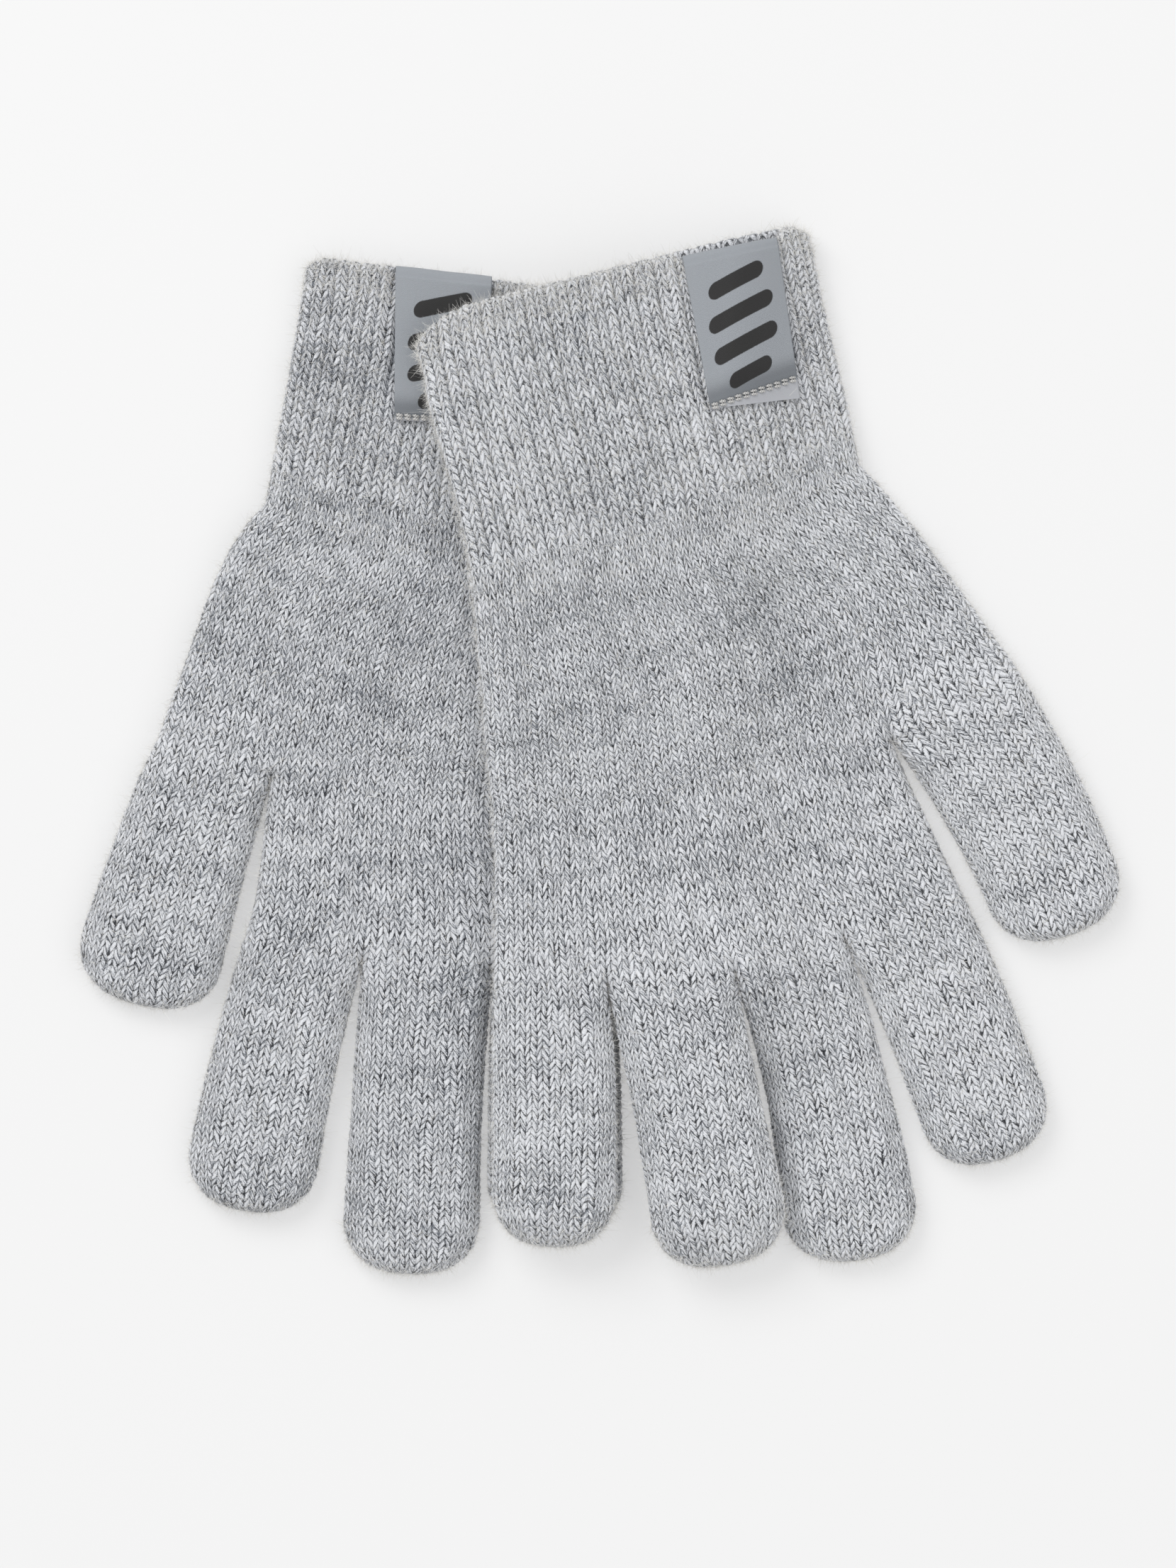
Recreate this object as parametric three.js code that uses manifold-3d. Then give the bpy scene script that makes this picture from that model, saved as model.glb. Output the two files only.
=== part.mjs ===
// A pair of seamless knitted touchscreen gloves, the right glove resting partly on the left one.
// Units are millimetres and degrees. The gloves lie flat on z = 0 with their fingers towards -Y.
import * as THREE from 'three';
import Module from 'manifold-3d';

const wasm = await Module();
wasm.setup();

// ---- knitted fabric -------------------------------------------------------------------------
const GLOVE_THICKNESS = 8.0;     // two layers of knit and the hollow between them
const WALL = 1.4;                // one layer of knit
const PIECE_GAP = 0.3;           // clearance between neighbouring pieces of one glove
const SIDE_CLEARANCE = 0.4;      // each finger is this much narrower than its root on either side

const CENTRE_SHIFT = [-1.26, 0.27]; // brings the middle of the pair to x = 0, y = 0

// ---- how the right glove lies over the left one ----------------------------------------------
const LIFT = 9.1;                // height of the right glove where the left glove is under it
const DRAPE_START = 2.5;         // the fabric starts to fall this far past the lower glove's edge
const DRAPE_WIDTH = 22.0;        // and reaches the table over this distance
const LOWER_EDGE = [             // the hidden edge of the left glove, as [y, x]
  [98.6, 24.9], [35.5, 20.6], [-14.0, 19.4], [-43.1, 27.5], [-105.0, 39.0],
];
const MIDDLE_DROP_LENGTH = 32.0; // the right middle finger slopes to the table over this length

// ---- how finely each glove is divided: only the draped one has to follow a slope ----------------
const FLAT_FACETS = { cuffColumns: 6, cuffRows: 2, palmColumns: 10 };
const DRAPED_FACETS = { cuffColumns: 28, cuffRows: 6, palmColumns: 15 };

// ---- label -----------------------------------------------------------------------------------
const TAPE_THICKNESS = 0.35;
const TAPE_WIDTH = 21.0;
const TAPE_OUTER_LENGTH = 33.0;
const TAPE_INNER_LENGTH = 12.0;
const TAPE_CLEARANCE = 0.25;
const TAPE_COLUMNS = 12;
const STITCH_COUNT = 12;
const STITCH_WIDTH = 0.9;
const STITCH_HEIGHT = 0.25;

// ---- tips ------------------------------------------------------------------------------------
const TIP_ROUNDING = 12.0;       // length over which a finger's outline rounds off
const TIP_POWER = 2.3;
const TOUCH_TIP_LENGTH = 17.0;   // conductive yarn zone at the end of thumb and index finger

// ---- the two gloves: rows of the knit, as [little finger side, ..., thumb side] ----------------
const RIGHT = {
  name: 'right',
  facets: DRAPED_FACETS,
  rim: [[-39.7, 93.7], [45.1, 112.9]],
  wrist: [[-27.4, 30.6], [56.2, 62.2]],
  wristBow: [2.2, -5.0],
  middleRow: [[-25.1, 4.5], [74.5, 39.8]],
  middleBow: [1.5, -4.0],
  crotchRow: [[-23.1, -18.0], [63.2, 2.2], [90.1, 17.0]],
  knuckles: [[-22.9, -50.2], [1.4, -50.2], [28.2, -45.0], [52.9, -40.2], [78.0, -30.0]],
  fingers: {
    little: { root: 0, heading: 0.0, length: 56.5 },
    ring: { root: 1, heading: 11.0, length: 64.0 },
    middle: { root: 2, heading: 11.0, length: 68.5 },
    index: { root: 3, heading: 22.1, length: 57.0 },
    thumb: { heading: 28.8, length: 58.0 },
  },
  label: { rimAt: 0.795, heading: 9.6, stitchSlant: 7.0, stitchAt: 28.5 },
};
const LEFT = {
  name: 'left',
  facets: FLAT_FACETS,
  rim: [[24.9, 98.6], [-63.5, 106.6]],
  wrist: [[20.6, 35.5], [-72.8, 53.4]],
  wristBow: [-0.8, -5.2],
  middleRow: [[19.7, 10.6], [-87.1, 27.8]],
  middleBow: [-0.5, -4.0],
  crotchRow: [[19.4, -14.0], [-71.4, -5.8], [-97.0, 3.0]],
  knuckles: [[27.5, -43.1], [3.5, -47.3], [-23.5, -47.3], [-51.5, -45.1], [-76.5, -38.2]],
  fingers: {
    little: { root: 0, heading: 9.9, length: 56.5 },
    ring: { root: 1, heading: 0.0, length: 60.0 },
    middle: { root: 2, heading: -4.5, length: 67.0 },
    index: { root: 3, heading: -15.4, length: 59.0 },
    thumb: { heading: -19.0, length: 54.0 },
  },
  label: { rimAt: 0.668, heading: -2.0, stitchSlant: -1.0, stitchAt: 31.0 },
};

const knitMaterial = new THREE.MeshStandardMaterial({ color: 0x9da1a8, roughness: 0.95, metalness: 0 });
const tipMaterial = new THREE.MeshStandardMaterial({ color: 0xa3a6ac, roughness: 0.9, metalness: 0 });
const tapeMaterial = new THREE.MeshStandardMaterial({ color: 0x7c848e, roughness: 0.55, metalness: 0 });
const threadMaterial = new THREE.MeshStandardMaterial({ color: 0xd6d4ce, roughness: 0.8, metalness: 0 });

const HALF = GLOVE_THICKNESS / 2;
const group = new THREE.Group();
group.name = 'touchscreen_gloves';

// ---- small helpers ---------------------------------------------------------------------------
const mix = (a, b, t) => a + (b - a) * t;
const mixPoint = (a, b, t) => [mix(a[0], b[0], t), mix(a[1], b[1], t)];
const distance = (a, b) => Math.hypot(b[0] - a[0], b[1] - a[1]);
const radians = (degrees) => degrees * Math.PI / 180;
const along = (heading) => [Math.sin(radians(heading)), -Math.cos(radians(heading))];
const across = (heading) => [Math.cos(radians(heading)), Math.sin(radians(heading))];
const move = (p, d, t) => [p[0] + d[0] * t, p[1] + d[1] * t];

function smoothstep(t) {
  const c = Math.min(1, Math.max(0, t));
  return c * c * (3 - 2 * c);
}

function lowerEdgeX(y) {
  const last = LOWER_EDGE.length - 1;
  if (y >= LOWER_EDGE[0][0]) return LOWER_EDGE[0][1];
  if (y <= LOWER_EDGE[last][0]) return LOWER_EDGE[last][1];
  const i = LOWER_EDGE.findIndex((point) => y > point[0]);
  const [y0, x0] = LOWER_EDGE[i - 1];
  const [y1, x1] = LOWER_EDGE[i];
  return mix(x0, x1, (y - y0) / (y1 - y0));
}

function drape(x, y) {
  return LIFT * (1 - smoothstep((x - lowerEdgeX(y) - DRAPE_START) / DRAPE_WIDTH));
}

const flat = () => 0;

// A row with a bow: evenly spaced columns from one end to the other, pushed out in the middle.
function bowedRow(ends, bow, columns) {
  const points = [];
  for (let i = 0; i <= columns; i += 1) {
    const t = i / columns;
    const p = mixPoint(ends[0], ends[1], t);
    const amount = 4 * t * (1 - t);
    points.push([p[0] + bow[0] * amount, p[1] + bow[1] * amount]);
  }
  return points;
}

const mixRows = (a, b, t) => a.map((point, i) => mixPoint(point, b[i], t));

// Splits each step of a row so that the drape can bend it.
function refine(row, steps) {
  const points = [row[0]];
  for (let i = 0; i + 1 < row.length; i += 1) {
    for (let k = 1; k <= steps; k += 1) points.push(mixPoint(row[i], row[i + 1], k / steps));
  }
  return points;
}

// The outline of a flat tube cut along a row: a top and a bottom line with rounded edges.
function section(row, inset, lift, centre = HALF) {
  const half = centre - inset;
  const last = row.length - 1;
  const profile = [];
  for (const angle of [15, 50]) {
    profile.push([edgePoint(row[0], row[1], inset + half * (1 - Math.cos(radians(angle)))),
      half * Math.sin(radians(angle))]);
  }
  profile.push([edgePoint(row[0], row[1], inset + half), half]);
  for (let i = 1; i < last; i += 1) {
    profile.push([row[i], half]);
  }
  profile.push([edgePoint(row[last], row[last - 1], inset + half), half]);
  for (const angle of [50, 15]) {
    profile.push([edgePoint(row[last], row[last - 1], inset + half * (1 - Math.cos(radians(angle)))),
      half * Math.sin(radians(angle))]);
  }
  const place = ([p, z], side) => new THREE.Vector3(p[0], p[1], lift(p[0], p[1]) + centre + side * z);
  return { top: profile.map((q) => place(q, 1)), bottom: profile.map((q) => place(q, -1)) };
}

function edgePoint(from, to, amount) {
  return mixPoint(from, to, amount / distance(from, to));
}

// ---- solids from a list of sections ------------------------------------------------------------
const ring = (s) => [...s.top, ...[...s.bottom].reverse()];

function geometryFrom(points, triangles) {
  const geometry = new THREE.BufferGeometry();
  const coordinates = points.flatMap((p) => [p.x, p.y, p.z]);
  geometry.setAttribute('position', new THREE.Float32BufferAttribute(coordinates, 3));
  geometry.setIndex(triangles);
  return faceOutward(geometry);
}

function faceOutward(geometry) {
  const position = geometry.getAttribute('position');
  const index = geometry.getIndex();
  const a = new THREE.Vector3();
  const b = new THREE.Vector3();
  const c = new THREE.Vector3();
  let volume = 0;
  for (let i = 0; i < index.count; i += 3) {
    a.fromBufferAttribute(position, index.getX(i));
    b.fromBufferAttribute(position, index.getX(i + 1));
    c.fromBufferAttribute(position, index.getX(i + 2));
    volume += a.dot(b.cross(c));
  }
  if (volume < 0) {
    const flipped = [];
    for (let i = 0; i < index.count; i += 3) {
      flipped.push(index.getX(i), index.getX(i + 2), index.getX(i + 1));
    }
    geometry.setIndex(flipped);
  }
  geometry.computeVertexNormals();
  return geometry;
}

function skin(triangles, first, second, count) {
  for (let i = 0; i < count; i += 1) {
    const j = (i + 1) % count;
    triangles.push(first + i, first + j, second + j, first + i, second + j, second + i);
  }
}

function cap(triangles, start, columns, flip) {
  const top = (i) => start + i;
  const bottom = (i) => start + 2 * columns - 1 - i;
  for (let i = 0; i + 1 < columns; i += 1) {
    const quad = [top(i), top(i + 1), bottom(i + 1), bottom(i)];
    if (flip) quad.reverse();
    triangles.push(quad[0], quad[1], quad[2], quad[0], quad[2], quad[3]);
  }
}

// A closed solid through the sections, with flat ends.
function solid(sections) {
  const count = ring(sections[0]).length;
  const columns = sections[0].top.length;
  const points = sections.flatMap(ring);
  const triangles = [];
  for (let k = 0; k + 1 < sections.length; k += 1) {
    skin(triangles, k * count, (k + 1) * count, count);
  }
  cap(triangles, 0, columns, true);
  cap(triangles, (sections.length - 1) * count, columns, false);
  return geometryFrom(points, triangles);
}

// A tube with a wall: open at its first section, and at its last one unless it is closed there.
function tube(outer, inner, closedEnd) {
  const count = ring(outer[0]).length;
  const columns = outer[0].top.length;
  const points = [...outer.flatMap(ring), ...inner.flatMap(ring)];
  const innerStart = outer.length * count;
  const triangles = [];
  for (let k = 0; k + 1 < outer.length; k += 1) {
    skin(triangles, k * count, (k + 1) * count, count);
  }
  for (let k = 0; k + 1 < inner.length; k += 1) {
    skin(triangles, innerStart + (k + 1) * count, innerStart + k * count, count);
  }
  skin(triangles, innerStart, 0, count);
  const lastOuter = (outer.length - 1) * count;
  const lastInner = innerStart + (inner.length - 1) * count;
  if (closedEnd) {
    cap(triangles, lastOuter, columns, false);
    cap(triangles, lastInner, columns, true);
  } else {
    skin(triangles, lastOuter, lastInner, count);
  }
  return geometryFrom(points, triangles);
}

// ---- manifold ----------------------------------------------------------------------------------
function toManifold(geometry) {
  const vertProperties = Float32Array.from(geometry.getAttribute('position').array);
  const triVerts = Uint32Array.from(geometry.getIndex().array);
  return new wasm.Manifold(new wasm.Mesh({ numProp: 3, vertProperties, triVerts }));
}

function fromManifold(manifold) {
  const mesh = manifold.getMesh();
  const geometry = new THREE.BufferGeometry();
  const coordinates = Array.from(mesh.vertProperties);
  geometry.setAttribute('position', new THREE.Float32BufferAttribute(coordinates, 3));
  geometry.setIndex(Array.from(mesh.triVerts));
  geometry.computeVertexNormals();
  return geometry;
}

function addPiece(name, geometry, material) {
  const mesh = new THREE.Mesh(geometry, material);
  mesh.name = name;
  mesh.position.set(CENTRE_SHIFT[0], CENTRE_SHIFT[1], 0);
  group.add(mesh);
}

// ---- cuff: a tube from the rim to the wrist ------------------------------------------------------
function addCuff(glove, lift) {
  const { cuffColumns, cuffRows } = glove.facets;
  const rim = bowedRow(glove.rim, [0, 0], cuffColumns);
  const wrist = bowedRow(glove.wrist, glove.wristBow, cuffColumns);
  const end = 1 - PIECE_GAP / distance(glove.rim[0], glove.wrist[0]);
  const rows = [];
  for (let k = 0; k < cuffRows; k += 1) rows.push(mixRows(rim, wrist, end * k / (cuffRows - 1)));
  const outer = rows.map((row) => section(row, 0, lift));
  const inner = rows.map((row) => section(row, WALL, lift));
  addPiece(`${glove.name}_cuff`, tube(outer, inner, false), knitMaterial);
}

// ---- palm: from the wrist to the knuckles, with an opening for the thumb -------------------------
function palmRows(glove) {
  const columns = glove.facets.palmColumns;
  const wrist = bowedRow(glove.wrist, glove.wristBow, columns);
  const middle = bowedRow(glove.middleRow, glove.middleBow, columns);
  const fourFingers = refine([glove.crotchRow[0], glove.crotchRow[1]], columns * 0.8);
  const thumb = refine([glove.crotchRow[1], glove.crotchRow[2]], columns * 0.2);
  const crotch = [...fourFingers, ...thumb.slice(1)];
  return [wrist, mixRows(wrist, middle, 0.5), middle, mixRows(middle, crotch, 0.5), crotch];
}

function addPalm(glove, lift) {
  const columns = glove.facets.palmColumns;
  const base = palmRows(glove);
  const fourFingers = refine([glove.crotchRow[0], glove.crotchRow[1]], columns * 0.8);
  const knuckles = refine(glove.knuckles, columns / 5);
  const frontRow = (t) => mixRows(fourFingers, knuckles, t);
  const frontRows = (start, end) => [start, 0, 0.33, 0.66, end].map(frontRow);
  const outer = toManifold(solid(base.map((row) => section(row, 0, lift))))
    .add(toManifold(solid(frontRows(-0.05, 1).map((row) => section(row, 0, lift)))));

  const wristward = mixRows(base[0], base[1], -0.1);
  const hollowRows = [wristward, ...base.slice(0, 4), mixRows(base[3], base[4], 0.85)];
  const thumbRow = refine([glove.crotchRow[1], glove.crotchRow[2]], 2);
  const thumbAxis = along(glove.fingers.thumb.heading);
  const thumbRows = [-9, 2].map((d) => thumbRow.map((p) => move(p, thumbAxis, d)));
  const hollow = toManifold(solid(hollowRows.map((row) => section(row, WALL, lift))))
    .add(toManifold(solid(frontRows(-0.2, 1.03).map((row) => section(row, WALL, lift)))))
    .add(toManifold(solid(thumbRows.map((row) => section(row, WALL, lift)))));
  addPiece(`${glove.name}_palm`, fromManifold(outer.subtract(hollow)), knitMaterial);
}

// ---- fingers: tubes with rounded ends -------------------------------------------------------------
function fingerFrame(glove, finger) {
  const row = finger.root === undefined
    ? [glove.crotchRow[1], glove.crotchRow[2]]
    : [glove.knuckles[finger.root], glove.knuckles[finger.root + 1]];
  return {
    centre: mixPoint(row[0], row[1], 0.5),
    width: distance(row[0], row[1]) - 2 * SIDE_CLEARANCE,
    side: across(finger.heading),
    axis: along(finger.heading),
  };
}

// Half width and half thickness at a distance from the root, for the outer or the inner surface.
function fingerSize(frame, length, inset, s) {
  const start = length - inset - TIP_ROUNDING;
  const t = Math.max(0, (s - start) / TIP_ROUNDING);
  const round = (1 - Math.min(t, 0.97) ** TIP_POWER) ** (1 / TIP_POWER);
  const half = (frame.width / 2 - inset) * mix(0.35, 1, round);
  return { half, flatten: mix(0.55, 1, round) };
}

function fingerSection(frame, length, inset, lift, s) {
  const size = fingerSize(frame, length, inset, s);
  const centre = move(frame.centre, frame.axis, s);
  const reach = size.half + inset;
  const row = refine([move(centre, frame.side, -reach), move(centre, frame.side, reach)], 3);
  const built = section(row, inset, lift, inset === 0 ? HALF * size.flatten : HALF);
  if (inset > 0 && size.flatten < 1) {
    for (const p of [...built.top, ...built.bottom]) {
      const base = lift(p.x, p.y) + WALL;
      p.z = base + (p.z - base) * size.flatten;
    }
  }
  return built;
}

function fingerLift(glove, frame, name) {
  if (glove.name === 'left') return flat;
  if (name === 'little' || name === 'ring') return () => LIFT;
  if (name !== 'middle') return drape;
  return (x, y) => {
    const s = (x - frame.centre[0]) * frame.axis[0] + (y - frame.centre[1]) * frame.axis[1];
    const root = move([x, y], frame.axis, -s);
    return drape(root[0], root[1]) * (1 - smoothstep(s / MIDDLE_DROP_LENGTH));
  };
}

function tipStations(from, length) {
  const start = length - TIP_ROUNDING;
  const rounded = [0, 0.45, 0.75, 0.92, 1].map((t) => start + t * TIP_ROUNDING);
  return [from, ...rounded.filter((s) => s > from + 0.5)];
}

function addFinger(glove, name) {
  const finger = glove.fingers[name];
  const frame = fingerFrame(glove, finger);
  const lift = fingerLift(glove, frame, name);
  const start = PIECE_GAP;
  const hasTouchTip = name === 'thumb' || name === 'index';
  const make = (inset) => (s) => fingerSection(frame, finger.length, inset, lift, s);
  const shaftSteps = glove.name === 'right' && name === 'middle' ? [0.2, 0.4, 0.6] : [0.5];
  const shaft = (end) => [start, ...shaftSteps.map((t) => mix(start, end, t))];
  if (!hasTouchTip) {
    const outer = [...shaft(finger.length - TIP_ROUNDING), ...tipStations(start, finger.length).slice(1)];
    const inner = [...shaft(finger.length - WALL - TIP_ROUNDING),
      ...tipStations(start, finger.length - WALL).slice(1)];
    const piece = tube(outer.map(make(0)), inner.map(make(WALL)), true);
    addPiece(`${glove.name}_${name}_finger`, piece, knitMaterial);
    return;
  }
  const seam = finger.length - TOUCH_TIP_LENGTH;
  const stations = [...shaft(seam), seam];
  const shaftName = name === 'thumb' ? 'thumb' : `${name}_finger`;
  const shaftPiece = tube(stations.map(make(0)), stations.map(make(WALL)), false);
  addPiece(`${glove.name}_${shaftName}`, shaftPiece, knitMaterial);
  const tipOuter = tipStations(seam + PIECE_GAP, finger.length).map(make(0));
  const tipInner = tipStations(seam + PIECE_GAP, finger.length - WALL).map(make(WALL));
  addPiece(`${glove.name}_${name}_touch_tip`, tube(tipOuter, tipInner, true), tipMaterial);
}

// ---- label: a tape folded over the rim of the upper layer of the cuff -----------------------------
function addLabel(glove, lift) {
  const { rimAt, heading, stitchSlant, stitchAt } = glove.label;
  const rimPoint = mixPoint(glove.rim[0], glove.rim[1], rimAt);
  const turned = glove.name === 'right' ? 1 : -1;
  const rimLength = distance(glove.rim[0], glove.rim[1]);
  const side = [0, 1].map((k) => turned * (glove.rim[1][k] - glove.rim[0][k]) / rimLength);
  const axis = along(heading);
  const top = GLOVE_THICKNESS + TAPE_CLEARANCE;
  const under = GLOVE_THICKNESS - WALL - TAPE_CLEARANCE;
  const mid = (top + under) / 2;
  const bend = (top - under) / 2;
  const path = [1, 0.8, 0.6, 0.4, 0.2, 0.02].map((t) => [t * TAPE_OUTER_LENGTH, top, 0]);
  const bendStart = path.length;
  for (const angle of [60, 20, -20, -60]) {
    path.push([-0.6 - bend * Math.cos(radians(angle)), mid + bend * Math.sin(radians(angle)), angle]);
  }
  const bendEnd = path.length;
  path.push([0.6, under, -90], [TAPE_INNER_LENGTH / 2, under, -90], [TAPE_INNER_LENGTH, under, -90]);
  const place = (u, s, z) => {
    const p = move(move(rimPoint, axis, s), side, u);
    return new THREE.Vector3(p[0], p[1], z + lift(p[0], p[1]));
  };
  const sections = [];
  for (let i = 0; i <= TAPE_COLUMNS; i += 1) {
    const u = mix(-TAPE_WIDTH / 2, TAPE_WIDTH / 2, i / TAPE_COLUMNS);
    const outside = [];
    const inside = [];
    path.forEach(([s, z, angle], k) => {
      inside.push(place(u, s, z));
      const straight = k < bendStart || k >= bendEnd;
      const ds = straight ? 0 : -TAPE_THICKNESS * Math.cos(radians(angle));
      const dz = straight ? Math.sign(z - mid) * TAPE_THICKNESS : TAPE_THICKNESS * Math.sin(radians(angle));
      outside.push(place(u, s + ds, z + dz));
    });
    sections.push({ top: outside, bottom: inside });
  }
  addPiece(`${glove.name}_label`, solid(sections), tapeMaterial);

  const threadBase = top + TAPE_THICKNESS + 0.05;
  const threadSections = [];
  for (let i = 0; i <= STITCH_COUNT * 2; i += 1) {
    const t = i / (STITCH_COUNT * 2);
    const u = mix(-TAPE_WIDTH / 2 + 0.5, TAPE_WIDTH / 2 - 0.5, t);
    const s = stitchAt - mix(-stitchSlant / 2, stitchSlant / 2, t);
    const size = i % 2 ? 1 : 0.55;
    const half = STITCH_WIDTH / 2 * size;
    threadSections.push({
      top: [place(u, s - half, threadBase + 0.1), place(u, s, threadBase + STITCH_HEIGHT * size),
        place(u, s + half, threadBase + 0.1)],
      bottom: [place(u, s - half, threadBase), place(u, s, threadBase), place(u, s + half, threadBase)],
    });
  }
  addPiece(`${glove.name}_label_stitching`, solid(threadSections), threadMaterial);
}

function addGlove(glove, lift) {
  addCuff(glove, lift);
  addPalm(glove, lift);
  for (const name of ['thumb', 'index', 'middle', 'ring', 'little']) addFinger(glove, name);
  addLabel(glove, lift);
}

addGlove(LEFT, flat);
addGlove(RIGHT, drape);

export default group;
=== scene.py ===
"""A pair of grey knitted touchscreen gloves laid flat, the right one partly over the left one.

Lengths are in millimetres and angles in degrees until a mesh is made, which turns them into metres.
The floor, the lights and the camera are in metres from the start.
Headings are measured from -Y, where the fingers point, towards +X.
"""

import math

import bpy
import mathutils
import numpy as np
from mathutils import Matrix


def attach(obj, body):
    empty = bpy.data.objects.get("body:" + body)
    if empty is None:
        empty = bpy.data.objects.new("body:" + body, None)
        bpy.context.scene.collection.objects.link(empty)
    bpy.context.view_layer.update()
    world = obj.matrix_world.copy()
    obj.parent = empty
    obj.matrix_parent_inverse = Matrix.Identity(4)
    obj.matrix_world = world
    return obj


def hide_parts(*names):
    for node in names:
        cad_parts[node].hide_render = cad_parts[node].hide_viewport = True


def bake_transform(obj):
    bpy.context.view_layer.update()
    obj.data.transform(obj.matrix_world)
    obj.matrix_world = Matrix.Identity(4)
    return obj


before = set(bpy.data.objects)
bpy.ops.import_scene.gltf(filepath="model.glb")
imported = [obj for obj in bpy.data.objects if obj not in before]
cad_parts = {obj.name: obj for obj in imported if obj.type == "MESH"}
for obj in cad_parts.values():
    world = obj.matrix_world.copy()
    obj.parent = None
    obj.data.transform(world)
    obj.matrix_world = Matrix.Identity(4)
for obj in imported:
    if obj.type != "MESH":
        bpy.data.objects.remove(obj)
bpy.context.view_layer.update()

# ---- knit and shape ----
MM = 0.001
CENTRE_SHIFT = np.array([-1.26, 0.27])  # the same shift as in the CAD model
HALF = 3.8                # half the thickness of one empty glove
EDGE = 4.2                # the edge rounds off over this distance from the silhouette
WALL = 1.7                # one layer of knit
WALE = 2.42               # distance between two columns of stitches
COURSE = 1.65             # distance between two rows of stitches
GROUP = 11                # columns of stitches in a finger's share of the palm
ALL_WALES = 5 * GROUP
CUFF_COURSES = 32
BASE_COURSES = 32         # from the wrist to the thumb's crotch
FRONT_COURSES = 20        # from the thumb's crotch to the knuckles
ROWS_PER_COURSE = 5
LEG_SLANT = 1.05          # rows that one leg of a stitch climbs over half a column
LEG_TOP = 0.18            # where the arch of a leg's height starts, at the middle of the column
LEG_END = 0.88            # and where it ends, in the groove between two columns
STITCH_RELIEF = 0.52
RIB_WIDTH = 1.5           # one rib of the cuff, in columns of the palm
RIB_RELIEF = 0.55         # depth of every second groove between the ribs
SHALLOW_GROOVE = 0.45     # the other grooves have this share of that depth
RIB_FADE = 9.0            # the ribs run out over this many rows at the wrist
RIM_SCALLOP = 0.5         # the grooves draw the rim in by this much
PALM_END = CUFF_COURSES + BASE_COURSES + FRONT_COURSES
DRIFTS = (0.09, 0.30)     # how far columns and rows drift, in columns and rows
JITTERS = (0.08, 0.10)    # how far each stitch is off its place
WRINKLE_HEIGHT = 0.35
BACK_RIM_SHOWS = 1.1      # the lower layer's rim lies this far beyond the upper one's
TABLE_CLEARANCE = 0.02    # stitches are pressed flat where they touch the table
INNER_DEPTH = 20.0        # how far into the cuff its inner wall is modelled
ROLL_STEPS = 8            # rows in which the knit rolls over the rim

# ---- how the right glove lies over the left one ----
LIFT = 8.4
DRAPE_START = 2.5
DRAPE_WIDTH = 22.0
LOWER_EDGE_Y = [-105.0, -43.1, -14.0, 35.5, 98.6]
LOWER_EDGE_X = [39.0, 27.5, 19.4, 20.6, 24.9]
MIDDLE_DROP_LENGTH = 32.0
TIP_DROOP = {"ring": (12.0, 4.0), "little": (8.0, 2.5)}  # over this length, by this much

# ---- fingers ----
TIP_ROUNDING = 12.5
TIP_POWER = 2.3
TOUCH_TIP_LENGTH = 17.0
BEND_LENGTH = 13.0        # length from a finger's root to the second point of fold_line
ROOT_LENGTH = 10.0        # a finger gets its own thickness and columns over this length
ROOT_TURN = 12.0          # and its rows turn square to it over this length
DOME = 0.16               # share of a finger's thickness that is domed
EDGE_ARC = 0.57           # the surface round the edge is longer than its plan by this share
THINNEST = 0.02           # half the width of the last row of a finger

# ---- loose fibres ----
# how many fibres stand off the knit and how many lie on it
CUFF_FIBRES = (9000, 8500)
MORE_AT_RIM = (400, 1500)
BASE_FIBRES = (6000, 3500)
FRONT_FIBRES = (2500, 1500)
SHAFT_FIBRES = (2800, 700)
TOUCH_TIP_FIBRES = (1900, 250)
MORE_AT_TIP = (1300, 100)
RIM_FIBRES = 6000
RIM_COURSES = 3           # rows of stitches that count as beside the rim
TIP_ROWS = 45             # rows of the mesh that count as the end of a finger
LOWEST_FIBRE = 0.05       # height over the table
FIBRE_TAPER = 0.7         # a fibre's end is narrower by this share
FIBRE_KINDS = 37          # fibres get one of so many tone patterns

# ---- yarn ----
# a pair of values is for the two legs of a stitch, the steep one first
PLY_SLANTS = (97.0, 56.0)  # down from the row
ARCH_STARTS = (0.08, 0.24)  # where the arch of a leg's height starts, as a share of the arch
ARCH_SPANS = (0.84, 0.64)   # and how much of the arch lies on the leg
STRANDS = 2.0             # dark lines between the plies across one leg
RAGGED_PALM = 0.30        # the outlines of the stitches are blurred by this share of a column
RAGGED_CUFF = 0.50
HAIR_LAYERS = ((0.0, 0.9), (31.0, 1.3))  # for drawn hairs: the slice of the noise, and its scale
# the tone is 0 for dark yarn and 1 for pale yarn, and each feature adds so much to it
DARKEST_STITCH = 0.39
STITCH_RANGE = 0.36
RUN_TONE = 1.1
PATCH_TONE = 0.9
BEND_TONE = 0.6
FIBRE_TONES = (2.3, 3.6)
STRAND_TONES = (0.04, 0.32)
SPECK_TONE = 1.5
HAIR_TONE = 0.22
# painted shade: the grooves between the ribs are darker
GROOVE_SHADE = -0.18
# painted light and shade: a leg is paler on its top and darker where it dips into the gaps
HEIGHT_LIGHT_AND_SHADE = 0.95
# how much paler than the palm some parts are: painted light on the fingers and the thumb side, painted
# shade on the left cuff where the right glove lies over it; the right cuff is paler too
LEFT_PAINTED_LIGHT_BY_PART = {"cuff": -0.055, "fingers": 0.045, "thumb_side": 0.03}
RIGHT_PAINTED_LIGHT_BY_PART = {"cuff": 0.055, "fingers": 0.105, "thumb_side": 0.085}
# near-black painted shade for the holes between the stitches
GAP_SHADE = (0.016, 0.018, 0.023)  # colour of the holes between the stitches

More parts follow.
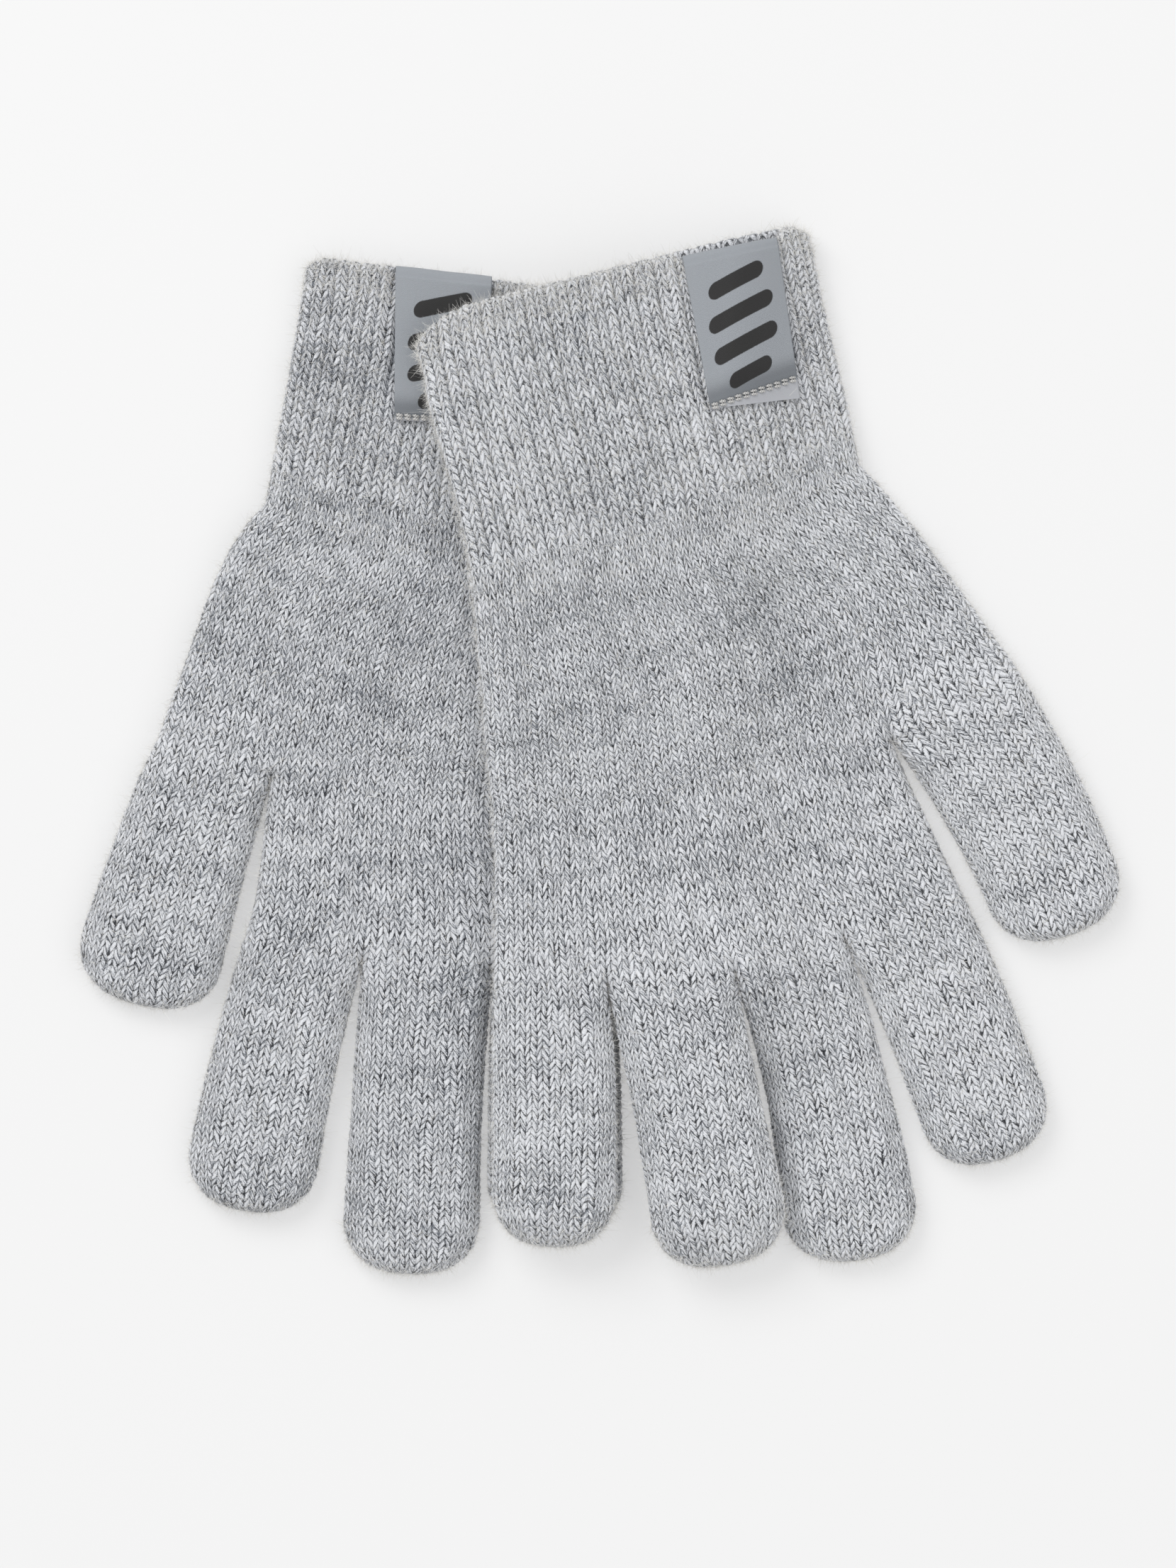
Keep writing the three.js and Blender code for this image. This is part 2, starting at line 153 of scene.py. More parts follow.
# ---- labels ----
TAPE_THICKNESS = 0.35
TAPE_CLEARANCE = 0.25     # between the knit and the tape that lies on it
TAPE_INSIDE = 0.45        # between the knit's inner side and the tape inside the cuff
TAPE_BULGE = 1.7          # the tape stands this far off the ribs between its fold and its seam
TAPE_INNER_LENGTH = 12.0
TAPE_COLUMNS = 70
TAPE_ROWS = 130
FOLD_STEPS = 12
INNER_STEPS = 13
LABEL_TUCK = 2.0          # the label's fold draws the upper layer's rim in by this much
THREAD_RADIUS = 0.34
STITCHES = 11
SEAM_LINES = (-0.008, 0.014)  # where the two lines of stitches lie, as shares of the tape's length
WARP_PITCH = 0.34
WEFT_PITCH = 0.42
# the print: each bar's distance from the fold and half its length
MARK_BARS = ((6.5, 4.6), (13.3, 5.8), (20.1, 5.8), (26.6, 3.4))
MARK_SLANT = 0.30         # a bar's rise over its length
MARK_LINE = 3.6           # a bar's width
TAPE_COLOURS = ((0.20, 0.215, 0.235), (0.43, 0.455, 0.49))
# painted light: the tape's tail past the seam is paler where it lies flat and faces up
PAINTED_LIGHT_TAIL_COLOUR = (0.46, 0.47, 0.50)
INK_COLOURS = ((0.012, 0.012, 0.012), (0.030, 0.029, 0.029))

# ---- floor and camera, in metres, the lens in millimetres ----
FLOOR_SIZE = 4.0
FLOOR_GREY = 0.45
FLOOR_GLOW = 0.44
AIM = (-0.00395, -0.00696, 0.004)
FIELD_HEIGHT = 0.3403     # length that the long side of the picture covers
LENS = 150.0
SENSOR = 36.0

# ---- the two gloves ----
RIGHT = {
    "name": "right",
    "seed": 40.0,
    "rim": [(-39.7, 92.1), (45.1, 113.0)],
    # how far each corner of the rim is rounded down, over how many columns
    "rim_corners": [(5.0, 8.0), (1.5, 3.5)],
    "rim_headings": [8.9, 9.3, 9.7, 10.0, 10.4, 10.8],
    "wrist": [(-27.4, 30.6), (56.2, 62.2)],
    "wrist_bow": (2.2, -5.0),
    "wrist_headings": [5.5, 6.5, 8.0, 9.5, 11.0, 12.0],
    "base_headings": [5.5, 7.0, 10.0, 15.0, 24.0, 43.0],
    "middle": [(-25.1, 4.5), (74.5, 39.8)],
    "middle_bow": (1.5, -4.0),
    "middle_headings": [4.0, 6.0, 10.0, 17.0, 26.0, 35.5],
    "crotch": [(-23.1, -18.0), (63.2, 2.2), (90.6, 17.3)],
    "crotch_headings": [3.5, 7.0, 10.5, 15.0, 21.0, 36.0],
    "knuckles": [(-22.9, -50.2), (1.4, -50.2), (28.9, -47.6), (52.9, -40.4), (78.1, -30.2)],
    "knuckle_headings": [1.5, 6.0, 14.5, 21.0, 25.5],
    # root and tip headings, length, width half way and near the tip
    "fingers": {
        "little": (3.0, -2.0, 57.2, 26.6, 26.3),
        "ring": (12.5, 9.5, 63.7, 27.4, 28.9),
        "middle": (18.5, 6.0, 68.4, 26.4, 29.0),
        "index": (25.5, 18.0, 57.6, 27.6, 27.6),
        "thumb": (35.0, 19.0, 56.0, 30.2, 29.2),
    },
    # the label's corners from the fold's left end round to the seam, and how far down the seam lies
    "label": {
        "corners": [(17.8, 104.9), (38.3, 109.3), (43.2, 76.2), (23.7, 73.4)],
        "seam": (0.985, 0.865),
    },
}
LEFT = {
    "name": "left",
    "seed": 0.0,
    "rim": [(24.9, 94.5), (-63.5, 105.8)],
    "rim_corners": [(2.0, 5.0), (1.0, 3.0)],
    "rim_headings": [-1.6, -3.2, -4.8, -6.4, -8.0, -9.6],
    "wrist": [(20.6, 35.5), (-72.8, 53.4)],
    "wrist_bow": (-0.8, -5.2),
    "wrist_headings": [-1.0, -2.5, -4.5, -6.5, -9.0, -12.0],
    "base_headings": [-1.0, -3.0, -7.0, -12.0, -22.0, -48.0],
    "middle": [(19.7, 10.6), (-87.1, 27.8)],
    "middle_bow": (-0.5, -4.0),
    "middle_headings": [1.0, -2.0, -6.0, -10.0, -14.0, -19.0],
    "crotch": [(19.4, -14.0), (-71.4, -5.8), (-96.2, 2.4)],
    "crotch_headings": [2.0, -2.0, -6.0, -8.0, -11.0, -20.0],
    "knuckles": [(27.5, -43.1), (3.5, -47.3), (-23.5, -47.6), (-51.6, -45.1), (-76.4, -38.2)],
    "knuckle_headings": [9.0, 4.5, -3.0, -10.0, -16.0],
    "fingers": {
        "little": (9.0, 10.5, 57.0, 25.4, 25.6),
        "ring": (0.0, 0.5, 57.8, 28.6, 29.2),
        "middle": (-5.0, -1.5, 67.4, 28.2, 29.4),
        "index": (-16.5, -9.0, 59.8, 27.2, 28.2),
        "thumb": (-20.5, -14.0, 56.0, 29.4, 31.2),
    },
    "label": {
        "corners": [(-44.3, 103.5), (-23.5, 101.2), (-24.6, 70.2), (-44.6, 71.6)],
        "seam": (0.975, 0.965),
    },
}
FINGER_NAMES = ["little", "ring", "middle", "index"]

rng = np.random.default_rng(7)
stitch_size = rng.uniform(0.75, 1.25, (64, 256))


# ---- small helpers ----
def smoothstep(t):
    t = np.clip(t, 0.0, 1.0)
    return t * t * (3.0 - 2.0 * t)


def direction(heading):
    """Unit vectors along a heading, one more axis than the headings have."""
    h = np.radians(heading)
    return np.stack([np.sin(h), -np.cos(h)], axis=-1)


def sideways(heading):
    h = np.radians(heading)
    return np.stack([np.cos(h), np.sin(h)], axis=-1)


def along_polyline(points, stops, u):
    points = np.asarray(points, float)
    return np.stack([np.interp(u, stops, points[:, 0]), np.interp(u, stops, points[:, 1])], axis=-1)


def unit(vectors):
    return vectors / np.linalg.norm(vectors, axis=-1, keepdims=True)


def new_object(name, data):
    made = bpy.data.objects.new(name, data)
    bpy.context.scene.collection.objects.link(made)
    return made


class WaveNoise:
    """Smooth noise made of a few sine waves, for wrinkles and uneven rows."""

    def __init__(self, seed, count=14):
        source = np.random.default_rng(seed)
        angle = source.uniform(0, 2 * math.pi, count)
        speed = source.uniform(0.45, 1.5, count)
        self.kx = np.cos(angle) * speed
        self.ky = np.sin(angle) * speed
        self.phase = source.uniform(0, 2 * math.pi, count)
        self.scale = math.sqrt(2.0 / count)

    def __call__(self, x, y):
        total = 0.0
        for kx, ky, phase in zip(self.kx, self.ky, self.phase):
            total = total + np.sin(kx * x + ky * y + phase)
        return total * self.scale


wobble_u = WaveNoise(1)
wobble_v = WaveNoise(2)
wrinkle = WaveNoise(3)

edge_y = np.linspace(-150.0, 150.0, 301)
edge_x = np.interp(edge_y, LOWER_EDGE_Y, LOWER_EDGE_X)
for _ in range(3):
    padded = np.pad(edge_x, 7, mode="edge")
    edge_x = np.convolve(padded, np.ones(15) / 15, mode="valid")


def drape(xy):
    """Height of the right glove's underside over the table, at points in the plan."""
    beyond = xy[..., 0] - np.interp(xy[..., 1], edge_y, edge_x) - DRAPE_START
    return LIFT * (1.0 - smoothstep(beyond / DRAPE_WIDTH))


def no_lift(xy):
    return np.zeros(xy.shape[:-1])


# ---- relief of the stitches ----
def rib_groove(u):
    """How deep the groove between two ribs is at a column, 1 at the deepest."""
    from_rib = np.abs((u / RIB_WIDTH) % 1.0 - 0.5) * 2.0
    shallow = np.floor(u / RIB_WIDTH + 0.5) % 2.0
    return smoothstep((from_rib - 0.25) / 0.75) * (1.0 - (1.0 - SHALLOW_GROOVE) * shallow)


def stitch_height(u, v):
    """Height of the knit's surface over its mean, from the column u and the row v of the stitches."""
    ribbed = 1.0 - smoothstep((v - CUFF_COURSES + RIB_FADE) / RIB_FADE)
    column = np.where(ribbed > 0.5, u / RIB_WIDTH, u)
    x = np.abs(column % 1.0 - 0.5) * 2.0
    row = v - LEG_SLANT * x
    across = row % 1.0
    body = np.sqrt(np.maximum(0.0, 1.0 - (2.0 * across - 1.0) ** 2))
    ends = np.sin(math.pi * (LEG_TOP + (LEG_END - LEG_TOP) * x))
    loose = stitch_size[np.floor(u).astype(int) % 64, np.floor(row).astype(int) % 256]
    return STITCH_RELIEF * loose * (body * ends - 0.5) - RIB_RELIEF * ribbed * (rib_groove(u) - 0.35)


# ---- columns of the mesh ----
def group_columns(arc_steps, flat_steps):
    """Columns across one finger: pairs (how far along the flat part, -1 to 1, and the edge's angle)."""
    arc = np.linspace(0.0, math.pi / 2, arc_steps + 1)[:-1]
    flat = np.linspace(-1.0, 1.0, flat_steps + 1)
    left = [(-1.0, angle) for angle in arc]
    right = [(1.0, angle) for angle in arc[::-1]]
    return np.array(left + [(f, math.pi / 2) for f in flat] + right)


TOP_COLUMNS = group_columns(7, 57)
BOTTOM_COLUMNS = group_columns(4, 17)


def column_offsets(columns, half_width, edge):
    """Distance from the finger's middle line, and from its edge, for each column."""
    flat_part, angle = columns[:, 0], columns[:, 1]
    half_width = np.asarray(half_width, float)[..., None]
    edge = np.minimum(np.asarray(edge, float)[..., None], half_width * 0.8)
    inset = edge * (1.0 - np.cos(angle))
    on_arc = angle < math.pi / 2 - 1e-6
    flat_x = flat_part * (half_width - edge)
    arc_x = flat_part * (half_width - inset)
    return np.where(on_arc, arc_x, flat_x)


def palm_columns(columns, groups):
    """The same columns as wale numbers, over several fingers' shares of the palm."""
    nominal = GROUP * WALE / 2.0
    offsets = column_offsets(columns, nominal, EDGE) / WALE
    parts = [GROUP * (k + 0.5) + offsets[(0 if k == groups[0] else 1):] for k in groups]
    return np.concatenate(parts)


def edge_profile(distance):
    """Half the glove's thickness at a distance from its silhouette."""
    inner = 1.0 - np.clip(distance / EDGE, 0.0, 1.0)
    return HALF * np.sqrt(np.maximum(0.0, 1.0 - inner * inner))


# ---- tubes of knit ----
class Tube:
    """Rows of points round a tube, with the column u and the row v of the stitches at each point."""

    def __init__(self, points, u, v):
        self.points = points
        self.u = np.broadcast_to(u, points.shape[:2]).copy()
        self.v = np.broadcast_to(v, points.shape[:2]).copy()

    def normals(self):
        p = self.points
        round_step = np.roll(p, -1, axis=1) - np.roll(p, 1, axis=1)
        row_step = np.gradient(p, axis=0)
        n = np.cross(row_step, round_step)
        half_way = len(p) // 2
        highest = np.argmax(p[half_way, :, 2])
        if n[half_way, highest, 2] < 0:
            n = -n
        length = np.linalg.norm(n, axis=-1, keepdims=True)
        return n / np.maximum(length, 1e-9)

    def loosen(self, seed_shift):
        """Makes rows and columns uneven: slow drifts, and each stitch a little off its place."""
        x, y = self.u + seed_shift, self.v
        drift_u, drift_v = wobble_u(x * 0.16, y * 0.13), wobble_v(x * 0.10, y * 0.10)
        jitter_u, jitter_v = wobble_u(x * 1.9 + 7.0, y * 1.1), wobble_v(x * 1.7, y * 1.5 + 5.0)
        self.u = self.u + DRIFTS[0] * drift_u + JITTERS[0] * jitter_u
        self.v = self.v + DRIFTS[1] * drift_v + JITTERS[1] * jitter_v

    def relieve(self, strength=1.0):
        height = stitch_height(self.u, self.v) * strength
        self.points = self.points + self.normals() * height[..., None]


def flattened_tube(top, bottom, u_top, u_bottom, v):
    """A tube of the top layer from one edge to the other, then the bottom layer back."""
    points = np.concatenate([top, bottom[:, -2:0:-1]], axis=1)
    u = np.concatenate([u_top, u_bottom[:, -2:0:-1]], axis=1)
    return Tube(points, u, v[:, None])


def knit_layers(plan_top, plan_bottom, half_top, half_bottom, lift, wrinkles):
    top_z = lift(plan_top) + HALF + half_top + wrinkles(plan_top) * (half_top / HALF)
    bottom_z = lift(plan_bottom) + HALF - half_bottom
    return (np.concatenate([plan_top, top_z[..., None]], axis=-1),
            np.concatenate([plan_bottom, bottom_z[..., None]], axis=-1))


def palm_wrinkles(xy):
    return WRINKLE_HEIGHT * wrinkle(xy[..., 0] * 0.07, xy[..., 1] * 0.055)


def hermite_rows(start, end, start_heading, end_heading, t):
    t = t[:, None, None]
    reach = np.linalg.norm(end - start, axis=-1, keepdims=True)
    a = reach * direction(start_heading)
    b = reach * direction(end_heading)
    return ((2 * t**3 - 3 * t**2 + 1) * start + (t**3 - 2 * t**2 + t) * a
            + (-2 * t**3 + 3 * t**2) * end + (t**3 - t**2) * b)


def rim_row(glove, u):
    row = along_polyline(glove["rim"], [0, ALL_WALES], u)
    for end, (drop, over) in zip((0, ALL_WALES), glove["rim_corners"]):
        near = np.clip(1.0 - np.abs(u - end) / over, 0.0, 1.0)
        row[:, 1] -= drop * near**2
    return row


def bowed_row(glove, name, u):
    t = np.clip(u / ALL_WALES, 0.0, 1.0)
    bow = np.array(glove[name + "_bow"])
    return along_polyline(glove[name], [0, ALL_WALES], u) + (4.0 * t * (1.0 - t))[:, None] * bow


def crotch_row(glove, u):
    return along_polyline(glove["crotch"], [0, 4 * GROUP, ALL_WALES], u)


def knuckle_row(glove, u):
    return along_polyline(glove["knuckles"], GROUP * np.arange(5), u)


def headings(glove, name, u):
    values = glove[name + "_headings"]
    return np.interp(u, GROUP * np.arange(len(values)), values)


def steps(courses):
    return np.linspace(0.0, 1.0, courses * ROWS_PER_COURSE + 1)


def cuff_plan(glove, u, t):
    return hermite_rows(rim_row(glove, u), bowed_row(glove, "wrist", u),
                        headings(glove, "rim", u), headings(glove, "wrist", u), t)


def base_plan(glove, u, t):
    wrist, middle = bowed_row(glove, "wrist", u), bowed_row(glove, "middle", u)
    first = hermite_rows(wrist, middle, headings(glove, "base", u),
                         headings(glove, "middle", u), t[t < 0.5] * 2)
    second = hermite_rows(middle, crotch_row(glove, u), headings(glove, "middle", u),
                          headings(glove, "crotch", u), t[t >= 0.5] * 2 - 1)
    return np.concatenate([first, second])


def front_plan(glove, u, t):
    return hermite_rows(crotch_row(glove, u), knuckle_row(glove, u),
                        headings(glove, "crotch", u), headings(glove, "knuckle", u), t)


def crotch_points(glove):
    return [np.array(p) for p in [glove["crotch"][1], *glove["knuckles"][1:4]]]


def silhouette_distance(plan, crotches):
    """Distance of each point from the two edges of its row and from the crotches of the fingers."""
    left = np.linalg.norm(plan - plan[:, :1], axis=-1)
    right = np.linalg.norm(plan - plan[:, -1:], axis=-1)
    distance = np.minimum(left, right)
    for point in crotches:
        distance = np.minimum(distance, np.linalg.norm(plan - point, axis=-1))
    return distance


def flat_tube(glove, plan_of, groups, t, v, lift):
    """A tube over several groups of columns: the cuff, the palm's base or its front."""
    u_top = palm_columns(TOP_COLUMNS, groups)
    u_bottom = palm_columns(BOTTOM_COLUMNS, groups)
    plan_top, plan_bottom = plan_of(glove, u_top, t), plan_of(glove, u_bottom, t)
    crotches = crotch_points(glove)
    half_top = edge_profile(silhouette_distance(plan_top, crotches))
    half_bottom = edge_profile(silhouette_distance(plan_bottom, crotches))
    top, bottom = knit_layers(plan_top, plan_bottom, half_top, half_bottom, lift, palm_wrinkles)
    u_top = np.broadcast_to(u_top, plan_top.shape[:2])
    u_bottom = np.broadcast_to(u_bottom, plan_bottom.shape[:2])
    return flattened_tube(top, bottom, u_top, u_bottom, v)


# ---- fingers ----
def finger_root(glove, name):
    if name == "thumb":
        return np.array(glove["crotch"][1]), np.array(glove["crotch"][2])
    k = FINGER_NAMES.index(name)
    return np.array(glove["knuckles"][k]), np.array(glove["knuckles"][k + 1])


def finger_stations(length):
    """Distances of the rows from the root: even on the shaft, closer together at the tip's end."""
    start = length - TIP_ROUNDING
    shaft = np.linspace(0.0, start, int(start / COURSE * ROWS_PER_COURSE) + 1)
    angle = np.linspace(0.0, math.pi / 2, int(TIP_ROUNDING / COURSE * ROWS_PER_COURSE * 1.3))[1:]
    return np.concatenate([shaft, start + TIP_ROUNDING * np.sin(angle)])


def finger_plan(glove, name, s):
    """The finger's middle line, the way across it and half its width, for each row."""
    root_heading, tip_heading, length, mid_width, end_width = glove["fingers"][name]
    a, b = finger_root(glove, name)
    heading = root_heading + (tip_heading - root_heading) * s / length
    step = np.diff(s, prepend=0.0)
    line = (a + b) / 2 + np.cumsum(direction(heading) * step[:, None], axis=0)
    chord = b - a if glove["name"] == "right" else a - b
    chord_heading = math.degrees(math.atan2(chord[1], chord[0]))
    side = sideways(chord_heading + (heading - chord_heading) * smoothstep(s / ROOT_TURN))
    if glove["name"] == "left":
        side = -side

    root_half = np.linalg.norm(b - a) / 2
    half = np.interp(s, [0, 9, length * 0.45, length - TIP_ROUNDING],
                     [root_half, (root_half + mid_width / 2) / 2, mid_width / 2, end_width / 2])
    t = np.clip((s - (length - TIP_ROUNDING)) / TIP_ROUNDING, 0.0, 1.0)
    half = half * np.maximum((1.0 - t**TIP_POWER), 0.0) ** (1.0 / TIP_POWER)
    return line, side, np.maximum(half, THINNEST)


def finger_tube(glove, name, lift, first_v, wale_offset):
    length = glove["fingers"][name][2]
    s = finger_stations(length)
    line, side, half = finger_plan(glove, name, s)
    a, b = finger_root(glove, name)
    root_half = np.linalg.norm(b - a) / 2
    end_round = np.sqrt(np.maximum(0.0, 1.0 - (1.0 - np.clip((length - s) / EDGE, 0, 1)) ** 2))
    away = smoothstep(s / ROOT_LENGTH)[:, None]

    layers = []
    for columns in (TOP_COLUMNS, BOTTOM_COLUMNS):
        x = column_offsets(columns, half, EDGE)
        plan = line[:, None] + x[..., None] * side[:, None]
        distance = half[:, None] - np.abs(x)
        dome = np.sqrt(np.maximum(0.0, 1.0 - (x / half[:, None]) ** 2))
        thick = edge_profile(distance) * (1.0 - DOME * away) + HALF * DOME * away * dome
        thick = thick * end_round[:, None]
        # along the surface the edge is longer than it looks in the plan
        arc = np.sign(x) * np.clip(EDGE - distance, 0.0, None) * EDGE_ARC
        # at the root the palm's columns spread over the finger's width
        spread = 1.0 - (1.0 - away) * (1.0 - GROUP * WALE / 2 / root_half)
        u = wale_offset + (x + arc * away) / WALE * spread
        layers.append((plan, thick, u))
    (plan_top, half_top, u_top), (plan_bottom, half_bottom, u_bottom) = layers
    top, bottom = knit_layers(plan_top, plan_bottom, half_top, half_bottom, lift, palm_wrinkles)
    return flattened_tube(top, bottom, u_top, u_bottom, first_v + s / COURSE), s


def drooping_lift(glove, name):
    """A finger lying on the other glove, its tip bending down past that glove's fingertip."""
    a, b = finger_root(glove, name)
    centre = (a + b) / 2
    root_heading, tip_heading, length = glove["fingers"][name][:3]
    axis = direction((root_heading + tip_heading) / 2)
    over, drop = TIP_DROOP[name]

    def lift(xy):
        s = (xy - centre) @ axis
        return LIFT - drop * smoothstep((s - length + over) / over)

    return lift


def right_middle_lift(glove):
    a, b = finger_root(glove, "middle")
    centre = (a + b) / 2
    axis = direction(12.0)

    def lift(xy):
        s = (xy - centre) @ axis
        at_root = xy - s[..., None] * axis
        return drape(at_root) * (1.0 - smoothstep(s / MIDDLE_DROP_LENGTH))

    return lift


# ---- meshes ----
class MeshParts:
    """Collects points and quads of one piece."""

    def __init__(self):
        self.points = []
        self.knit = []
        self.faces = []
        self.count = 0

    def add(self, points, faces, knit):
        self.points.append(points.reshape(-1, 3))
        self.knit.append(knit.reshape(-1, 3))
        self.faces.append(faces.reshape(-1, 4) + self.count)
        self.count += len(self.points[-1])

    def add_tube(self, tube, first=0, last=None):
        """Rows first to last of the tube, both counted in."""
        last = len(tube.points) - 1 if last is None else last
        points = tube.points[first:last + 1]
        knit = np.stack([tube.u, tube.v, np.zeros_like(tube.u)], axis=-1)[first:last + 1]
        rows, around = points.shape[:2]
        index = np.arange(rows * around).reshape(rows, around)
        right = np.roll(index, -1, axis=1)
        quads = np.stack([index[:-1], index[1:], right[1:], right[:-1]], axis=-1)
        self.add(points, quads, knit)

    def close_row(self, row, around):
        """Closes the end of the first tube added, between the two halves of one of its rows."""
        i = np.arange(around // 2 - 1)
        out = row * around + i
        back = row * around + around - 1 - i
        self.faces.append(np.stack([out, out + 1, back - 1, back], axis=-1))

    def build(self, name, material, slot):
        """Makes the piece; its attribute "knit" keeps three numbers for each point for the material."""
        points = np.concatenate(self.points)
        points = points + np.array([CENTRE_SHIFT[0], CENTRE_SHIFT[1], 0.0])
        points[:, 2] = np.maximum(points[:, 2], TABLE_CLEARANCE)
        faces = np.concatenate(self.faces)
        mesh = bpy.data.meshes.new(name)
        mesh.vertices.add(len(points))
        mesh.vertices.foreach_set("co", (points * MM).astype(np.float32).ravel())
        mesh.loops.add(faces.size)
        mesh.loops.foreach_set("vertex_index", faces.astype(np.int32).ravel())
        mesh.polygons.add(len(faces))
        mesh.polygons.foreach_set("loop_start", np.arange(0, faces.size, 4, dtype=np.int32))
        mesh.materials.append(material)
        mesh.update(calc_edges=True)
        mesh.validate()
        mesh.shade_smooth()
        knit = mesh.attributes.new("knit", "FLOAT_VECTOR", "POINT")
        knit.data.foreach_set("vector", np.concatenate(self.knit).astype(np.float32).ravel())
        piece = new_object(name, mesh)
        return piece


# ---- nodes ----
def math_method(operation):
    """A method of Value that puts it, with another number if there is one, through a math node."""
    def method(self, other=0.0):
        return self.shader.math(operation, self, other)

    return method


class Value:
    """A number that a node gives, so that the formulas of a material read as usual."""

    __add__ = math_method("ADD")
    __sub__ = math_method("SUBTRACT")
    __mul__ = math_method("MULTIPLY")
    __truediv__ = math_method("DIVIDE")
    __mod__ = math_method("MODULO")
    __pow__ = math_method("POWER")
    __abs__ = math_method("ABSOLUTE")
    floor = math_method("FLOOR")
    fraction = math_method("FRACT")
    sine = math_method("SINE")
    above = math_method("GREATER_THAN")
    at_least = math_method("MAXIMUM")
    at_most = math_method("MINIMUM")

    def __init__(self, shader, socket):
        self.shader = shader
        self.socket = socket

    def __rsub__(self, other):
        return self.shader.math("SUBTRACT", other, self)

    def clamped(self):
        return self.shader.math("ADD", self, 0.0, clamp=True)

    def ramp(self, low, high):
        """0 at low, 1 at high, smooth between and level beyond; low may be the greater number."""
        node = self.shader.node("ShaderNodeMapRange", interpolation_type="SMOOTHSTEP")
        self.shader.connect(self, node.inputs["Value"])
        node.inputs["From Min"].default_value = low
        node.inputs["From Max"].default_value = high
        return Value(self.shader, node.outputs[0])

    def mix(self, a, b):
        """a where this is 0, b where it is 1."""
        return self * (b - a) + a


class Shader:
    """A node material."""

    def __init__(self, name, sheen=0.0, metallic=0.0, specular=0.25):
        self.material = bpy.data.materials.new(name)
        self.material.use_nodes = True
        self.tree = self.material.node_tree
        self.principled = self.tree.nodes["Principled BSDF"]
        self.surface("Sheen Weight", sheen)
        self.surface("Metallic", metallic)
        self.surface("Specular IOR Level", specular)

    def node(self, kind, **settings):
        node = self.tree.nodes.new(kind)
        for key, value in settings.items():
            setattr(node, key, value)
        return node

    def connect(self, value, socket):
        value = getattr(value, "socket", value)
        if isinstance(value, bpy.types.NodeSocket):
            self.tree.links.new(value, socket)
        else:
            socket.default_value = value

    def surface(self, name, value):
        self.connect(value, self.principled.inputs[name])

    def math(self, operation, a, b=0.0, clamp=False):
        node = self.node("ShaderNodeMath", operation=operation, use_clamp=clamp)
        self.connect(a, node.inputs[0])
        self.connect(b, node.inputs[1])
        return Value(self, node.outputs[0])

    def place(self):
        """The three numbers that each mesh keeps for every point, such as its column and row."""
        attribute = self.node("ShaderNodeAttribute", attribute_name="knit")
        split = self.node("ShaderNodeSeparateXYZ")
        self.tree.links.new(attribute.outputs["Vector"], split.inputs[0])
        return [Value(self, part) for part in split.outputs]

    def vector(self, parts):
        node = self.node("ShaderNodeCombineXYZ")
        for part, socket in zip(parts, node.inputs):
            self.connect(part, socket)
        return node.outputs[0]

    def noise(self, place, scale=1.0, detail=2.0, roughness=0.5):
        node = self.node("ShaderNodeTexNoise")
        self.tree.links.new(self.vector(place), node.inputs["Vector"])
        node.inputs["Scale"].default_value = scale
        node.inputs["Detail"].default_value = detail
        node.inputs["Roughness"].default_value = roughness
        return Value(self, node.outputs["Fac"])

    def random(self, place):
        node = self.node("ShaderNodeTexWhiteNoise", noise_dimensions="3D")
        self.tree.links.new(self.vector(place), node.inputs["Vector"])
        return Value(self, node.outputs["Value"])

    def mix_colour(self, factor, a, b):
        node = self.node("ShaderNodeMix", data_type="RGBA")
        self.connect(factor, node.inputs["Factor"])
        for colour, index in ((a, 6), (b, 7)):
            self.connect((*colour, 1.0) if isinstance(colour, tuple) else colour, node.inputs[index])
        return node.outputs[2]

    def bump(self, height, distance):
        """distance is in metres."""
        node = self.node("ShaderNodeBump")
        self.connect(height, node.inputs["Height"])
        node.inputs["Distance"].default_value = distance
        node.inputs["Strength"].default_value = 1.0
        self.surface("Normal", node.outputs["Normal"])


# ---- materials ----
def blurred_place(s, u, v, plan, ribbed):
    """The column and row of the stitches, with outlines that fibres blur, most of all on the cuff."""
    ragged = ribbed.mix(RAGGED_PALM, RAGGED_CUFF)
    across = s.noise((*plan, 17.0), 1.5, 3.0, 0.65) - 0.5
    down = s.noise((*plan, 29.0), 1.5, 3.0, 0.65) - 0.5
    return u + across * ragged, v + down * (ragged * 1.4)


def place_in_column(u, ribbed):
    """How far across its column a point is, -1 to 1, and how deep in a groove between two ribs."""
    rib = u / RIB_WIDTH
    rib_x = rib.fraction() * 2.0 - 1.0
    plain_x = u.fraction() * 2.0 - 1.0
    shallow = (rib + 0.5).floor() % 2.0
    groove = abs(rib_x).ramp(0.25, 1.0) * ribbed * (shallow * (SHALLOW_GROOVE - 1.0) + 1.0)
    return ribbed.above(0.5).mix(plain_x, rib_x), groove


def leg_height(x, row, side):
    """The rounded body of one leg of a stitch, 0 in the gaps where the legs meet.

    The steep leg is a rounded grain, the other one a sheaf of strands that passes under its neighbours.
    """
    from_middle = row.fraction() * 2.0 - 1.0
    body = (1.0 - from_middle ** 2.0).clamped() ** 0.5
    along_arch = x * side.mix(*ARCH_SPANS) + side.mix(*ARCH_STARTS)
    return body * (along_arch * math.pi).sine()


